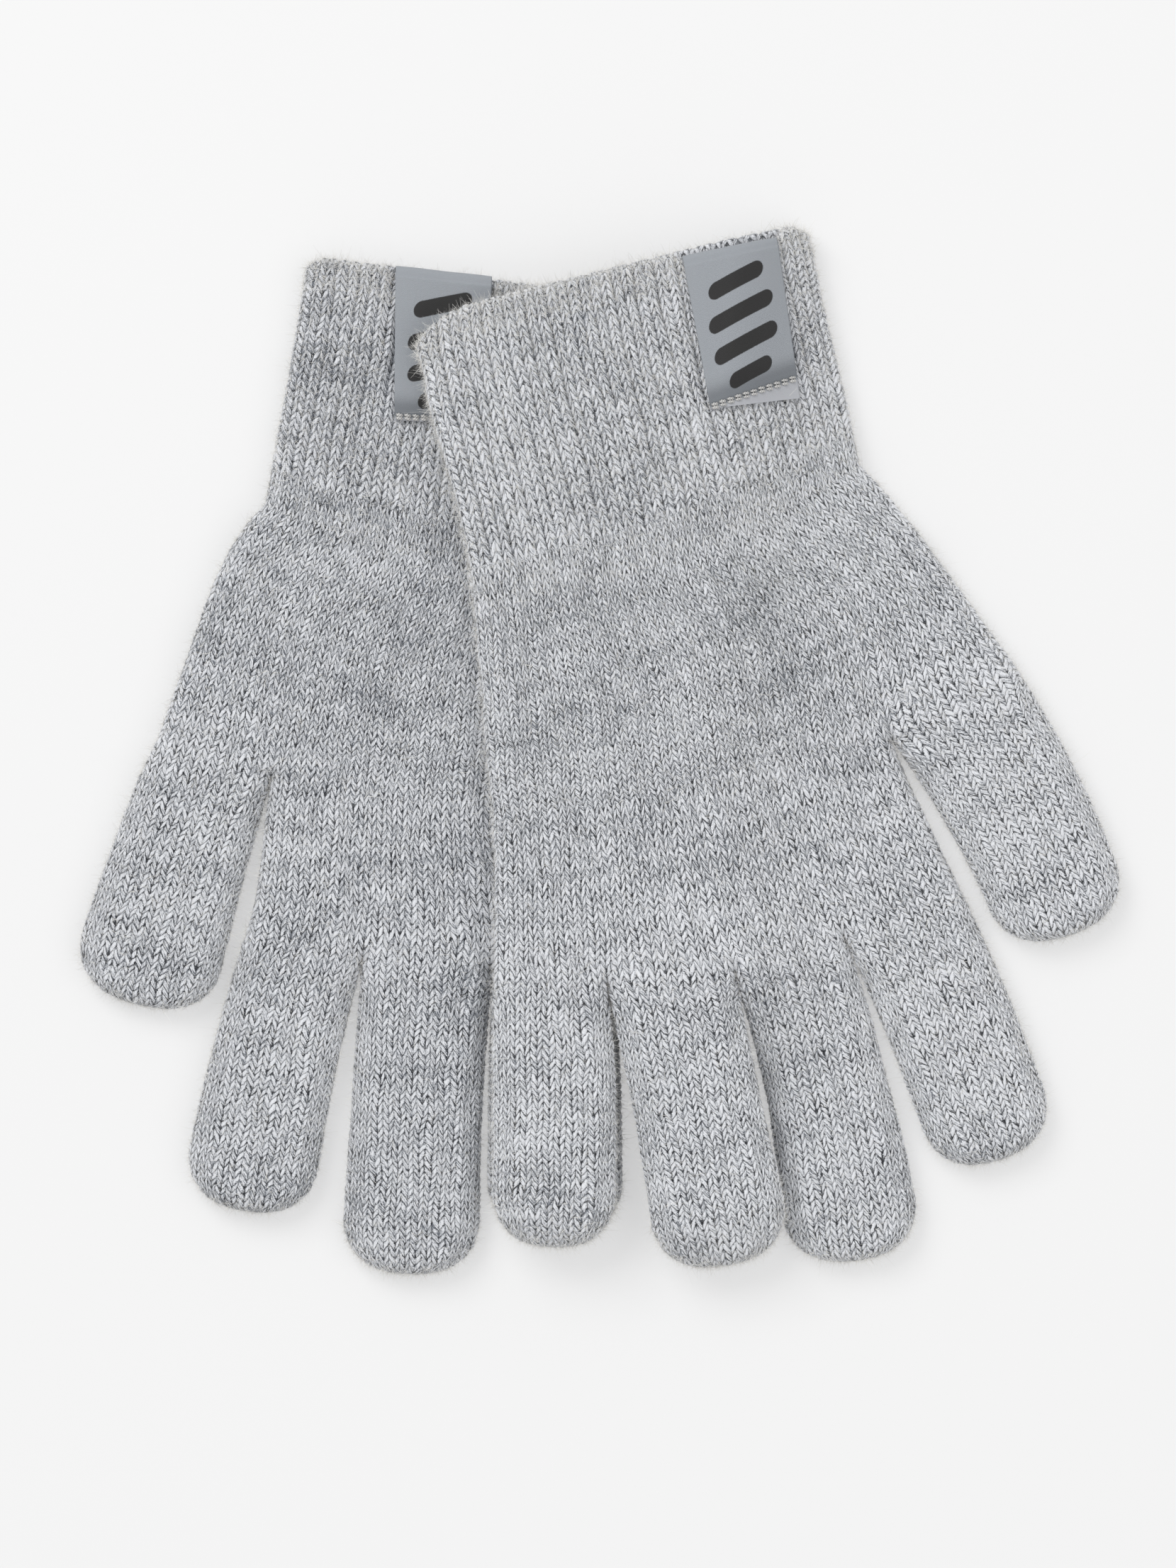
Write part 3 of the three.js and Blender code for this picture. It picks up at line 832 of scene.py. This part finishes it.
def ply_fields(s, plan, row, side, chance):
    """Bends and fibres along the plies, and the dark lines between them.

    The plies run at the same slant to the yarn in both legs of a stitch, so they look steep in one leg
    and shallow in the other.
    """
    across, along = [], []
    for slant in PLY_SLANTS:
        c, d = math.cos(math.radians(slant)), math.sin(math.radians(slant))
        across.append(plan[1] * c - plan[0] * d)
        along.append(plan[0] * c + plan[1] * d)
    q, p = side.mix(*across), side.mix(*along)
    own = chance * 40.0
    bend = s.noise((q * 1.2, p * 0.8, own), 1.0, 1.0)
    fibres = s.noise((q * 6.0, p, own), 1.0, 2.0, 0.6)
    strands = (row * (2.0 * math.pi * STRANDS) + bend * 7.0).sine()
    return bend, fibres, strands


def drawn_hairs(s, plan, ribbed, specks):
    """Loose hairs that lie across the stitches in all directions, more of them on the cuff."""
    hair = 0.0
    for shift, size in HAIR_LAYERS:
        line = abs(s.noise((*plan, shift), size, 1.0) - 0.5)
        hair = (1.0 - line.ramp(0.012, 0.045)).at_least(hair)
    return hair * ribbed.mix(0.35, 0.85) * specks.ramp(0.40, 0.55)


def melange_and_painted_light_tone(s, u, v, row, chance, paler):
    """Whole stitches, runs of a course and soft patches are lighter or darker, and parts of the glove
    get painted light and painted shade.
    """
    run = s.noise((u * 0.14, row * 1.1, 3.0), 1.0, 2.0, 0.6)
    patch = s.noise((u * 0.07, v * 0.13, 9.0), 1.0, 3.0, 0.55)
    tone = chance * STITCH_RANGE + DARKEST_STITCH
    tone = tone + (run - 0.5) * RUN_TONE + (patch - 0.5) * PATCH_TONE
    # painted light and shade by part of the glove: the cuff, the fingers and the thumb side
    tone = tone + v.ramp(CUFF_COURSES + 10.0, CUFF_COURSES - 2.0) * paler["cuff"]
    tone = tone + v.ramp(PALM_END - 20.0, PALM_END) * paler["fingers"]
    return tone + u.ramp(3.0 * GROUP, 4.5 * GROUP) * paler["thumb_side"]


def knit_material(name, dark, pale, mirrored, paler, smoothest=0.86, metallic=0.0):
    """Stockinette in a melange two-ply yarn, drawn from the column and row numbers of the stitches."""
    s = Shader(name, 0.5, metallic)
    u, v, _ = s.place()
    mirror = -1.0 if mirrored else 1.0
    ribbed = 1.0 - v.ramp(CUFF_COURSES - RIB_FADE, CUFF_COURSES)
    plan = u * (mirror * WALE), v * COURSE
    u, v = blurred_place(s, u, v, plan, ribbed)
    signed_x, groove = place_in_column(u, ribbed)
    x = abs(signed_x)
    row = v - x * LEG_SLANT
    side = (signed_x * mirror).above(0.0)
    chance = s.random((u.floor(), row.floor(), side))
    height = leg_height(x, row, side)
    bend, fibres, strands = ply_fields(s, plan, row, side, chance)
    specks = s.noise(plan, 4.5, 1.0)
    hair = drawn_hairs(s, plan, ribbed, specks)

    tone = melange_and_painted_light_tone(s, u, v, row, chance, paler) + (bend - 0.5) * BEND_TONE
    tone = tone + (fibres - 0.5) * side.mix(*FIBRE_TONES) + strands * side.mix(*STRAND_TONES)
    # specks and hairs are the yarn's own tone; the grooves between the ribs get painted shade
    tone = tone + (specks - 0.5) * SPECK_TONE + hair * HAIR_TONE + groove * GROOVE_SHADE
    # painted light and shade from the height of each leg
    tone = tone + (height - 0.6) * HEIGHT_LIGHT_AND_SHADE
    yarn = s.mix_colour(tone.clamped(), dark, pale)

    # painted shade: the gaps between the legs are open by chance and painted near-black: most are
    # narrow, some are black holes
    hole = s.noise((u * 0.7, v * 0.6, 5.0), 1.0, 2.0, 0.6)
    depth = height + (fibres - 0.5) * 0.8 + (hole - 0.5) * 1.2
    closed = depth.ramp(0.14, 0.50).at_least(hair * 0.75)
    s.surface("Base Color", s.mix_colour(closed, GAP_SHADE, yarn))
    s.surface("Roughness", (closed * fibres).mix(0.96, smoothest))
    s.bump(height * 0.7 + fibres * 0.35 + strands * side.mix(0.02, 0.10), 0.0004)
    return s.material


def fuzz_material(name, colour):
    s = Shader(name)
    u, v, shade = s.place()
    wave = s.noise((u, v, shade), 3.0)
    tone = (wave * 0.3 + shade * 0.7).clamped()
    darker = tuple(0.72 * c for c in colour)
    s.surface("Base Color", s.mix_colour(tone, darker, colour))
    s.surface("Roughness", wave.mix(0.80, 0.98))
    return s.material


def printed_bars(s, a, b, speckle):
    """1 on the print and 0 beside it, with outlines that the speckle makes uneven."""
    mark = 0.0
    for middle, half_length in MARK_BARS:
        from_line = a * MARK_SLANT + (b - middle)
        past_end = (abs(a) - half_length).at_least(0.0)
        off = (past_end ** 2.0 + from_line ** 2.0) ** 0.5 + (speckle - 0.5) * 0.2
        bar = 1.0 - off.ramp(MARK_LINE / 2 - 0.12, MARK_LINE / 2 + 0.12)
        mark = bar.at_least(mark)
    return mark


def tape_material():
    """Grey satin tape with a plain black print of slanted bars."""
    s = Shader("label_tape_grey", specular=0.35)
    a, b, shade = s.place()
    weave = (a * (2.0 * math.pi / WARP_PITCH)).sine() * (b * (2.0 * math.pi / WEFT_PITCH)).sine()
    speckle = s.noise((a * 1.2, b * 3.2), 1.6, 3.0, 0.6)
    grain = s.noise((a, b), 7.0, 2.0, 0.7)
    mark = printed_bars(s, a, b, speckle)
    # painted shade: the tape is darker where it bends down to the seam
    tone = grain * 1.6 + speckle * 0.35 - 0.45 + weave * 0.06 + shade.at_most(0.0) * 0.9
    ground = s.mix_colour(tone.clamped(), *TAPE_COLOURS)
    # painted light: the tail past the seam is paler
    ground = s.mix_colour(shade.at_least(0.0), ground, PAINTED_LIGHT_TAIL_COLOUR)
    ink = s.mix_colour(grain, *INK_COLOURS)
    s.surface("Base Color", s.mix_colour(mark, ground, ink))
    s.surface("Roughness", mark.mix(grain.mix(0.44, 0.66), 0.50))
    s.bump(speckle * 0.4 + weave, 0.00003)
    return s.material


def thread_material():
    s = Shader("label_seam_thread", 0.1)
    u, v, shade = s.place()
    winding = ((u + v * 1.5) * (2.0 * math.pi)).sine()
    wave = s.noise((u, v, shade), 4.0)
    tone = (winding * 0.25 + wave * 0.4 + 0.35).clamped()
    s.surface("Base Color", s.mix_colour(tone, (0.30, 0.30, 0.30), (0.80, 0.79, 0.77)))
    s.surface("Roughness", tone.mix(0.86, 0.66))
    s.bump(winding, 0.00006)
    return s.material


# the left glove's colours are darker than the right glove's: painted shade from the right glove that
# lies over it
knit = {
    "left": knit_material("left_grey_melange_knit", (0.13, 0.145, 0.17), (0.80, 0.815, 0.85),
                          True, LEFT_PAINTED_LIGHT_BY_PART),
    "right": knit_material("right_grey_melange_knit", (0.14, 0.155, 0.18), (0.84, 0.855, 0.89),
                           False, RIGHT_PAINTED_LIGHT_BY_PART),
}
# the left touch tips are darker by the same painted shade
tip_knit = {
    "left": knit_material("left_conductive_grey_knit", (0.14, 0.155, 0.18), (0.815, 0.83, 0.865),
                          True, LEFT_PAINTED_LIGHT_BY_PART, smoothest=0.78, metallic=0.05),
    "right": knit_material("right_conductive_grey_knit", (0.14, 0.155, 0.18), (0.86, 0.875, 0.91),
                           False, RIGHT_PAINTED_LIGHT_BY_PART, smoothest=0.78, metallic=0.05),
}
fuzz = fuzz_material("loose_fibres", (0.94, 0.925, 0.89))
tape = tape_material()
thread = thread_material()


# ---- loose fibres ----
def add_fibres(parts, start, way, curl, length, width, joints):
    """Thin ribbons from their starting points, each with its own direction and curl."""
    count = len(start)
    flat_side = unit(np.cross(way, rng.normal(size=(count, 3))))
    stations = np.linspace(0.0, 1.0, joints)
    points = np.zeros((count, joints, 2, 3))
    for k, t in enumerate(stations):
        centre = start + (way * t + curl * t * t * 0.5) * length[:, None]
        half = (width * (1.0 - FIBRE_TAPER * t) / 2)[:, None] * flat_side
        points[:, k, 0] = centre - half
        points[:, k, 1] = centre + half
    points[..., 2] = np.maximum(points[..., 2], LOWEST_FIBRE)
    knit_place = np.zeros(points.shape)
    knit_place[..., 0] = stations[None, :, None]
    knit_place[..., 1] = np.arange(count)[:, None, None] % FIBRE_KINDS
    knit_place[..., 2] = rng.uniform(0.0, 1.0, count)[:, None, None]
    corner = (np.arange(count) * joints * 2)[:, None] + (np.arange(joints - 1) * 2)[None, :]
    quads = np.stack([corner, corner + 1, corner + 3, corner + 2], axis=-1)
    parts.add(points, quads, knit_place)


def at_edges(normal_z):
    """Share of the fibres for a normal's z: most of them on the rounded edges."""
    return np.where(normal_z > -0.3, 0.05 + 2.0 * (1.0 - np.abs(normal_z)) ** 2, 0.01)


def on_top(normal_z):
    return np.where(normal_z > 0.1, 1.0, 0.0)


def inside_tape(corners, plan):
    """True where a place in the plan lies under the tape with these corners."""
    corner, across_end, _, down_end = (np.array(c) for c in corners)
    across, down = across_end - corner, down_end - corner
    a = (plan - corner) @ across / (across @ across)
    b = (plan - corner) @ down / (down @ down)
    return (a > 0.0) & (a < 1.0) & (b > -0.1) & (b < 1.0)


def scatter(tube, count, share, first, last, bare):
    """Random places on some rows of the tube, and their normals; the share depends on a normal's z."""
    rows = tube.points[first:last + 1]
    normals = tube.normals()[first:last + 1]
    row_step = np.linalg.norm(np.gradient(rows, axis=0), axis=-1)
    round_step = np.linalg.norm(np.gradient(rows, axis=1), axis=-1)
    chance = share(normals[..., 2]) * row_step * round_step
    if bare:
        chance = np.where(inside_tape(bare, rows[..., :2]), 0.0, chance)
    chance = chance.ravel()
    picked = rng.choice(chance.size, size=count, p=chance / chance.sum())
    return rows.reshape(-1, 3)[picked], normals.reshape(-1, 3)[picked]


def add_halo(parts, start, normal):
    """Fibres standing off the knit, which make its outline hairy."""
    count = len(start)
    way = unit(normal + 1.1 * rng.normal(size=(count, 3)))
    length = rng.uniform(0.6, 1.9, count) * rng.uniform(0.5, 1.2, count)
    curl = 1.1 * rng.normal(size=(count, 3))
    add_fibres(parts, start - 0.15 * normal, way, curl, length, rng.uniform(0.05, 0.10, count), 4)


def add_nap(parts, start, normal):
    """Fibres lying over the stitches."""
    count = len(start)
    way = rng.normal(size=(count, 3))
    way = unit(unit(way - normal * np.sum(way * normal, axis=1, keepdims=True)) + 0.10 * normal)
    curl = 0.7 * rng.normal(size=(count, 3))
    curl -= normal * (np.sum(curl * normal, axis=1, keepdims=True) + 0.1)
    length = rng.uniform(0.6, 2.4, count)
    add_fibres(parts, start + 0.10 * normal, way, curl, length, rng.uniform(0.06, 0.12, count), 3)


def add_fuzz(parts, tube, counts, first=0, last=None, bare=None):
    """Fibres of both kinds on some rows of a tube, none of them where the tape covers it."""
    last = len(tube.points) - 1 if last is None else last
    add_halo(parts, *scatter(tube, counts[0], at_edges, first, last, bare))
    add_nap(parts, *scatter(tube, counts[1], on_top, first, last, bare))


def add_loose_fibres(glove, name, fibres):
    side = glove["name"]
    piece = fibres.build(f"{side}_{name}_loose_fibres", fuzz, f"knit_{side}")
    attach(piece, f"{side}_glove")


# ---- cuffs ----
def beside_label(glove, plan):
    """1 where the label's fold draws the rim in, 0 away from the label."""
    left, right = (np.array(c) for c in glove["label"]["corners"][:2])
    a = (plan - left) @ (right - left) / ((right - left) @ (right - left))
    return smoothstep((a + 0.12) / 0.12) * smoothstep((1.12 - a) / 0.12)


def cuff_tube(glove, lift):
    t = steps(CUFF_COURSES)
    tube = flat_tube(glove, cuff_plan, range(5), t, t * CUFF_COURSES, lift)
    # the lower layer's rim lies a little further out
    outward = tube.points[0] - tube.points[1]
    outward[:, 2] = 0.0
    outward = unit(outward)
    under = smoothstep((HALF + lift(tube.points[0, :, :2]) - tube.points[0, :, 2]) / HALF)
    push = BACK_RIM_SHOWS * under - RIM_SCALLOP * rib_groove(tube.u[0])
    push = push - LABEL_TUCK * (1.0 - under) * beside_label(glove, tube.points[0, :, :2])
    push = push[None, :] * ((1.0 - t) ** 6)[:, None]
    tube.points = tube.points + push[..., None] * outward
    return tube


def add_rim(parts, fibres, smooth, tube, bare):
    """The knit rolls over the rim and goes back inside as the cuff's inner wall."""
    normals = smooth.normals()
    outward = unit(smooth.points[0] - smooth.points[2])
    height = stitch_height(tube.u, tube.v)
    rows, v = [tube.points[0]], [tube.v[0]]
    for k in range(1, ROLL_STEPS + 1):
        angle = math.pi * k / ROLL_STEPS
        inset = WALL / 2 * (1.0 - math.cos(angle))
        beyond = WALL / 2 * math.sin(angle)
        swell = height[0] * math.cos(angle)
        rows.append(smooth.points[0] + normals[0] * (swell - inset)[:, None] + outward * beyond)
        v.append(tube.v[0] - WALL / 2 * angle / COURSE)
    depth_rows = int(INNER_DEPTH / COURSE * ROWS_PER_COURSE)
    for k in range(2, depth_rows, 3):
        rows.append(smooth.points[k] - normals[k] * (WALL + 0.5 * height[k])[:, None])
        v.append(v[ROLL_STEPS] - k / ROWS_PER_COURSE)
    parts.add_tube(Tube(np.array(rows), tube.u[0], np.array(v)))
    add_rim_fibres(fibres, smooth.points[0], normals[0], outward, bare)


def add_rim_fibres(fibres, rim, normals, outward, bare):
    """Fibres spread evenly along the rolled rim."""
    width = np.linalg.norm(np.gradient(rim, axis=0), axis=1)
    width[inside_tape(bare, rim[:, :2]) & (normals[:, 2] > 0.0)] = 0.0
    picked = rng.choice(len(width), size=RIM_FIBRES, p=width / width.sum())
    angle = rng.uniform(0.0, 0.6 * math.pi, RIM_FIBRES)[:, None]
    normal = np.cos(angle) * normals[picked] + np.sin(angle) * outward[picked]
    add_halo(fibres, rim[picked] + WALL / 2 * (normal - normals[picked]), normal)


def add_cuff(glove, lift):
    smooth = cuff_tube(glove, lift)
    tube = cuff_tube(glove, lift)
    tube.loosen(glove["seed"])
    tube.relieve()
    parts, fibres = MeshParts(), MeshParts()
    parts.add_tube(tube)
    under_tape = glove["label"]["corners"]
    add_rim(parts, fibres, smooth, tube, under_tape)
    add_fuzz(fibres, tube, CUFF_FIBRES, bare=under_tape)
    add_fuzz(fibres, tube, MORE_AT_RIM, last=RIM_COURSES * ROWS_PER_COURSE, bare=under_tape)
    name = glove["name"]
    piece = parts.build(f"{name}_ribbed_cuff", knit[name], f"knit_{name}")
    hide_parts(f"{name}_cuff")
    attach(piece, f"{name}_glove")
    add_loose_fibres(glove, "cuff", fibres)


# ---- palms ----
def add_palm(glove, lift):
    parts, fibres = MeshParts(), MeshParts()
    t = steps(BASE_COURSES)
    base = flat_tube(glove, base_plan, range(5), t, CUFF_COURSES + t * BASE_COURSES, lift)
    t = steps(FRONT_COURSES)
    first = CUFF_COURSES + BASE_COURSES
    front = flat_tube(glove, front_plan, range(4), t, first + t * FRONT_COURSES, lift)
    for tube, counts in ((base, BASE_FIBRES), (front, FRONT_FIBRES)):
        tube.loosen(glove["seed"])
        tube.relieve()
        parts.add_tube(tube)
        add_fuzz(fibres, tube, counts)
    name = glove["name"]
    piece = parts.build(f"{name}_knit_palm", knit[name], f"knit_{name}")
    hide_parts(f"{name}_palm")
    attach(piece, f"{name}_glove")
    add_loose_fibres(glove, "palm", fibres)


# ---- the fingers' pieces ----
def finger_lift(glove, name):
    if glove["name"] == "left":
        return no_lift
    if name in TIP_DROOP:
        return drooping_lift(glove, name)
    if name == "middle":
        return right_middle_lift(glove)
    return drape


def place_in_frame(point, height):
    return tuple(MM * c for c in (point[0] + CENTRE_SHIFT[0], point[1] + CENTRE_SHIFT[1], height))


def fold_line(glove, name):
    """Two points on a finger's middle line, at the end of its root along its heading and BEND_LENGTH
    further on, at the middle of its thickness.
    """
    a, b = finger_root(glove, name)
    axis = direction(glove["fingers"][name][0])
    centre = (a + b) / 2
    reach = abs((b - a) @ axis) / 2
    height = finger_lift(glove, name)(centre[None, :])[0] + HALF
    start = place_in_frame(centre + axis * reach, height)
    end = place_in_frame(centre + axis * (reach + BEND_LENGTH), height)
    return start, end


def finger_knit(glove, name):
    """The finger's tube of loose stitches, and the distance of its rows from the root."""
    group = 4 if name == "thumb" else FINGER_NAMES.index(name)
    first_v = CUFF_COURSES + BASE_COURSES + (0 if name == "thumb" else FRONT_COURSES)
    tube, s = finger_tube(glove, name, finger_lift(glove, name), first_v, GROUP * (group + 0.5))
    tube.loosen(glove["seed"])
    closing = np.clip((glove["fingers"][name][2] - s) / 1.5, 0.0, 1.0)
    tube.relieve(closing[:, None])
    return tube, s


def add_touch_tip(side, name, finger_unit, tube, cut):
    tip = MeshParts()
    tip.add_tube(tube, cut)
    piece = tip.build(f"{side}_{name}_touch_tip_knit", tip_knit[side], "conductive_knit")
    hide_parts(f"{side}_{name}_touch_tip")
    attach(piece, finger_unit)


def add_finger(glove, name):
    side = glove["name"]
    tube, s = finger_knit(glove, name)
    start, end = fold_line(glove, name)
    finger_unit = f"{side}_{name}_unit"
    has_tip = name in ("thumb", "index")
    last = len(s) - 1
    cut = int(np.searchsorted(s, glove["fingers"][name][2] - TOUCH_TIP_LENGTH)) if has_tip else last

    shaft_name = f"{side}_thumb" if name == "thumb" else f"{side}_{name}_finger"
    shaft = MeshParts()
    shaft.add_tube(tube, 0, cut)
    piece = shaft.build(f"{shaft_name}_knit", knit[side], f"knit_{side}")
    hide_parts(shaft_name)
    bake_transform(piece)

    fibres = MeshParts()
    add_fuzz(fibres, tube, SHAFT_FIBRES, 0, cut)
    if has_tip:
        add_touch_tip(side, name, finger_unit, tube, cut)
        add_fuzz(fibres, tube, TOUCH_TIP_FIBRES, cut, last)
    else:
        add_fuzz(fibres, tube, MORE_AT_TIP, last - TIP_ROWS, last)
    piece = fibres.build(f"{side}_{name}_loose_fibres", fuzz, f"knit_{side}")
    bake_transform(piece)


# ---- labels ----
def tape_point(corners, a, b):
    """Plan position on the tape: a from 0 to 1 across it, b from 0 at the fold to 1 at its end."""
    top_left, top_right, low_right, low_left = (np.array(c) for c in corners)
    a, b = np.asarray(a)[..., None], np.asarray(b)[..., None]
    return (top_left * (1 - a) + top_right * a) * (1 - b) + (low_left * (1 - a) + low_right * a) * b


def seam_row(glove, a):
    left, right = glove["label"]["seam"]
    return left + (right - left) * a


def tape_height(glove, lift, a, b):
    """Height of the tape's upper face: a pillow between the fold and the seam, flat past the seam."""
    plan = tape_point(glove["label"]["corners"], a, b)
    along = np.clip(b / seam_row(glove, a), 0.0, 1.0)
    pillow = np.minimum(smoothstep(along / 0.03) * 0.6 + 0.4, 1.0) * smoothstep((1.0 - along) / 0.20)
    pillow = pillow * (0.80 + 0.20 * np.sin(math.pi * a))
    crease = 0.10 * np.sin(9.0 * a + 4.0 * b) * smoothstep((1.0 - along) / 0.2)
    base = lift(plan) + 2 * HALF + TAPE_CLEARANCE
    sewn = 0.30 * (1.0 - smoothstep(np.abs(b - seam_row(glove, a)) / 0.025))
    return plan, base + TAPE_THICKNESS + TAPE_BULGE * pillow + crease - sewn


def tape_inside(lift, plan):
    """Height of the tape inside the cuff, under the upper layer of knit."""
    return lift(plan) + 2 * HALF - WALL - TAPE_INSIDE


def folded_rows(glove, lift, outer):
    """Rows of the tape inside the cuff and round the fold, up to the first row of its outer face."""
    corners = glove["label"]["corners"]
    away = unit(np.array(corners[0]) - np.array(corners[3]))
    top_line = outer[0]
    low = tape_inside(lift, top_line[:, :2])
    middle, radius = (top_line[:, 2] + low) / 2, (top_line[:, 2] - low) / 2
    rows = []
    for k in range(INNER_STEPS, -1, -1):
        row = top_line.copy()
        row[:, :2] -= away * (TAPE_INNER_LENGTH * k / INNER_STEPS)
        row[:, 2] = tape_inside(lift, row[:, :2])
        rows.append(row)
    for k in range(FOLD_STEPS - 1, 0, -1):
        angle = math.pi * k / FOLD_STEPS
        row = top_line.copy()
        row[:, :2] += away * (0.9 * radius * math.sin(angle))[:, None]
        row[:, 2] = middle + radius * math.cos(angle)
        rows.append(row)
    return np.array(rows)


def tape_painted_light_and_shade(glove, a, b):
    """Painted light and shade on the tape: 1 on the tail past the seam, painted lighter where it lies
    flat, and below 0 where the tape bends down to the seam, painted darker as shade.
    """
    before_seam = seam_row(glove, a) - b
    painted_bend_shade = smoothstep(1.0 - before_seam / 0.16) * (before_seam > 0)
    return smoothstep((-before_seam - 0.01) / 0.01) - painted_bend_shade


def tape_solid(surface, place, outer_row):
    """The tape in its full thickness: a tube round both its faces, closed at the ends."""
    n = unit(np.cross(np.gradient(surface, axis=0), np.gradient(surface, axis=1)))
    if n[outer_row, TAPE_COLUMNS // 2, 2] < 0:
        n = -n
    lower = surface - n * TAPE_THICKNESS
    ring = np.concatenate([surface, lower[:, ::-1]], axis=1)
    ring_place = np.concatenate([place, place[:, ::-1]], axis=1)
    parts = MeshParts()
    parts.add_tube(Tube(ring, ring_place[..., 0], ring_place[..., 1]))
    parts.knit[0][:, 2] = ring_place[..., 2].ravel()
    parts.close_row(0, 2 * TAPE_COLUMNS)
    parts.close_row(len(ring) - 1, 2 * TAPE_COLUMNS)
    return parts


def add_label(glove, lift):
    corners = glove["label"]["corners"]
    across = np.linspace(0.0, 1.0, TAPE_COLUMNS)
    a, b = np.meshgrid(across, np.linspace(0.0, 1.0, TAPE_ROWS))
    plan, z = tape_height(glove, lift, a, b)
    outer = np.concatenate([plan, z[..., None]], axis=-1)
    folded = folded_rows(glove, lift, outer)
    surface = np.concatenate([folded, outer])
    step = np.linalg.norm(np.diff(surface, axis=0), axis=-1)
    distance = np.concatenate([np.zeros((1, step.shape[1])), np.cumsum(step, axis=0)])
    distance = distance - distance[len(folded)]
    width = np.linalg.norm(np.array(corners[1]) - np.array(corners[0]))
    sideways_place = np.broadcast_to((across - 0.5) * width, distance.shape)
    shade = np.zeros(distance.shape)
    shade[len(folded):] = tape_painted_light_and_shade(glove, a, b)
    place = np.stack([sideways_place, distance, shade], axis=-1)

    parts = tape_solid(surface, place, len(folded) + TAPE_ROWS // 2)
    name = glove["name"]
    piece = parts.build(f"{name}_folded_tape_label", tape, "label_tape")
    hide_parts(f"{name}_label")
    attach(piece, f"{name}_glove")


def thread_stitch(parts, start, end, up, radius):
    """One stitch of two-ply thread: it comes up at start, lies on the tape and goes down at end."""
    rows, around = 11, 10
    t = np.linspace(0.0, 1.0, rows)
    centre = start + (end - start) * t[:, None]
    centre[:, 2] += radius * 1.5 * np.sin(math.pi * t) ** 0.5 - radius * 0.8
    way = unit(end - start)
    side = np.cross(up, way)
    angle = np.linspace(0.0, 2 * math.pi, around, endpoint=False)
    lobes = 1.0 + 0.30 * np.cos(2 * (angle[None, :] - 2 * math.pi * 1.25 * t[:, None]))
    taper = (0.45 + 0.55 * np.sin(math.pi * np.clip(t, 0.02, 0.98)) ** 0.5)[:, None]
    r = radius * lobes * taper
    round_way = np.cos(angle)[:, None] * side + np.sin(angle)[:, None] * up
    points = centre[:, None] + r[..., None] * round_way
    parts.add_tube(Tube(points, angle / math.pi, 2.0 * t[:, None]))


def add_seam(glove, lift):
    parts = MeshParts()
    up = np.array([0.0, 0.0, 1.0])
    edges = np.linspace(0.01, 0.99, STITCHES + 1)
    for offset in SEAM_LINES:
        for k in range(STITCHES):
            ends = []
            for e, slant in ((edges[k] + 0.006, -0.004), (edges[k + 1] - 0.006, 0.004)):
                a = np.array([e])
                b = seam_row(glove, a) + offset + slant + rng.uniform(-0.0015, 0.0015)
                plan, z = tape_height(glove, lift, a, b)
                ends.append(np.array([plan[0, 0], plan[0, 1], z[0] + THREAD_RADIUS * 0.5]))
            thread_stitch(parts, ends[0], ends[1], up, THREAD_RADIUS * rng.uniform(0.9, 1.1))
    name = glove["name"]
    piece = parts.build(f"{name}_label_seam_thread", thread, "label_thread")
    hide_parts(f"{name}_label_stitching")
    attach(piece, f"{name}_glove")


# ---- the pair ----
for glove, lift in ((LEFT, no_lift), (RIGHT, drape)):
    add_cuff(glove, lift)
    add_palm(glove, lift)
    for finger in ("thumb", "index", "middle", "ring", "little"):
        add_finger(glove, finger)
    add_label(glove, lift)
    add_seam(glove, lift)


# ---- floor, light and camera ----
def add_floor():
    mesh = bpy.data.meshes.new("floor")
    r = FLOOR_SIZE / 2
    mesh.from_pydata([(-r, -r, 0), (r, -r, 0), (r, r, 0), (-r, r, 0)], [], [(0, 1, 2, 3)])
    floor = new_object("floor", mesh)
    s = Shader("pale_floor", specular=0.1)
    s.surface("Roughness", 0.9)
    s.surface("Base Color", (FLOOR_GREY, FLOOR_GREY, FLOOR_GREY, 1.0))
    s.surface("Emission Color", (1.0, 1.0, 1.0, 1.0))
    s.surface("Emission Strength", FLOOR_GLOW)
    mesh.materials.append(s.material)


def add_light(name, location, size, power, target=(0.0, 0.0, 0.0)):
    light = bpy.data.lights.new(name, "AREA")
    light.shape = "RECTANGLE"
    light.size, light.size_y = size
    light.energy = power
    lamp = new_object(name, light)
    lamp.location = location
    way = np.array(target) - np.array(location)
    lamp.rotation_euler = mathutils.Vector(way).to_track_quat("-Z", "Y").to_euler()


def add_world(strength):
    world = bpy.data.worlds.new("studio")
    world.use_nodes = True
    background = world.node_tree.nodes["Background"]
    background.inputs["Color"].default_value = (1.0, 1.0, 1.0, 1.0)
    background.inputs["Strength"].default_value = strength
    bpy.context.scene.world = world


def add_camera():
    camera = bpy.data.cameras.new("camera")
    camera.lens = LENS
    camera.sensor_width = SENSOR
    camera.clip_start = 0.01
    camera.clip_end = 20.0
    stand = new_object("camera", camera)
    stand.location = (AIM[0], AIM[1], AIM[2] + FIELD_HEIGHT * LENS / SENSOR)
    bpy.context.scene.camera = stand


add_floor()
add_light("key", (-0.9, 1.1, 1.5), (1.2, 1.2), 19.5)
add_light("fill", (1.0, -0.4, 1.6), (1.6, 1.6), 6.5)
add_world(0.64)
add_camera()
bpy.context.scene.view_settings.view_transform = "Standard"
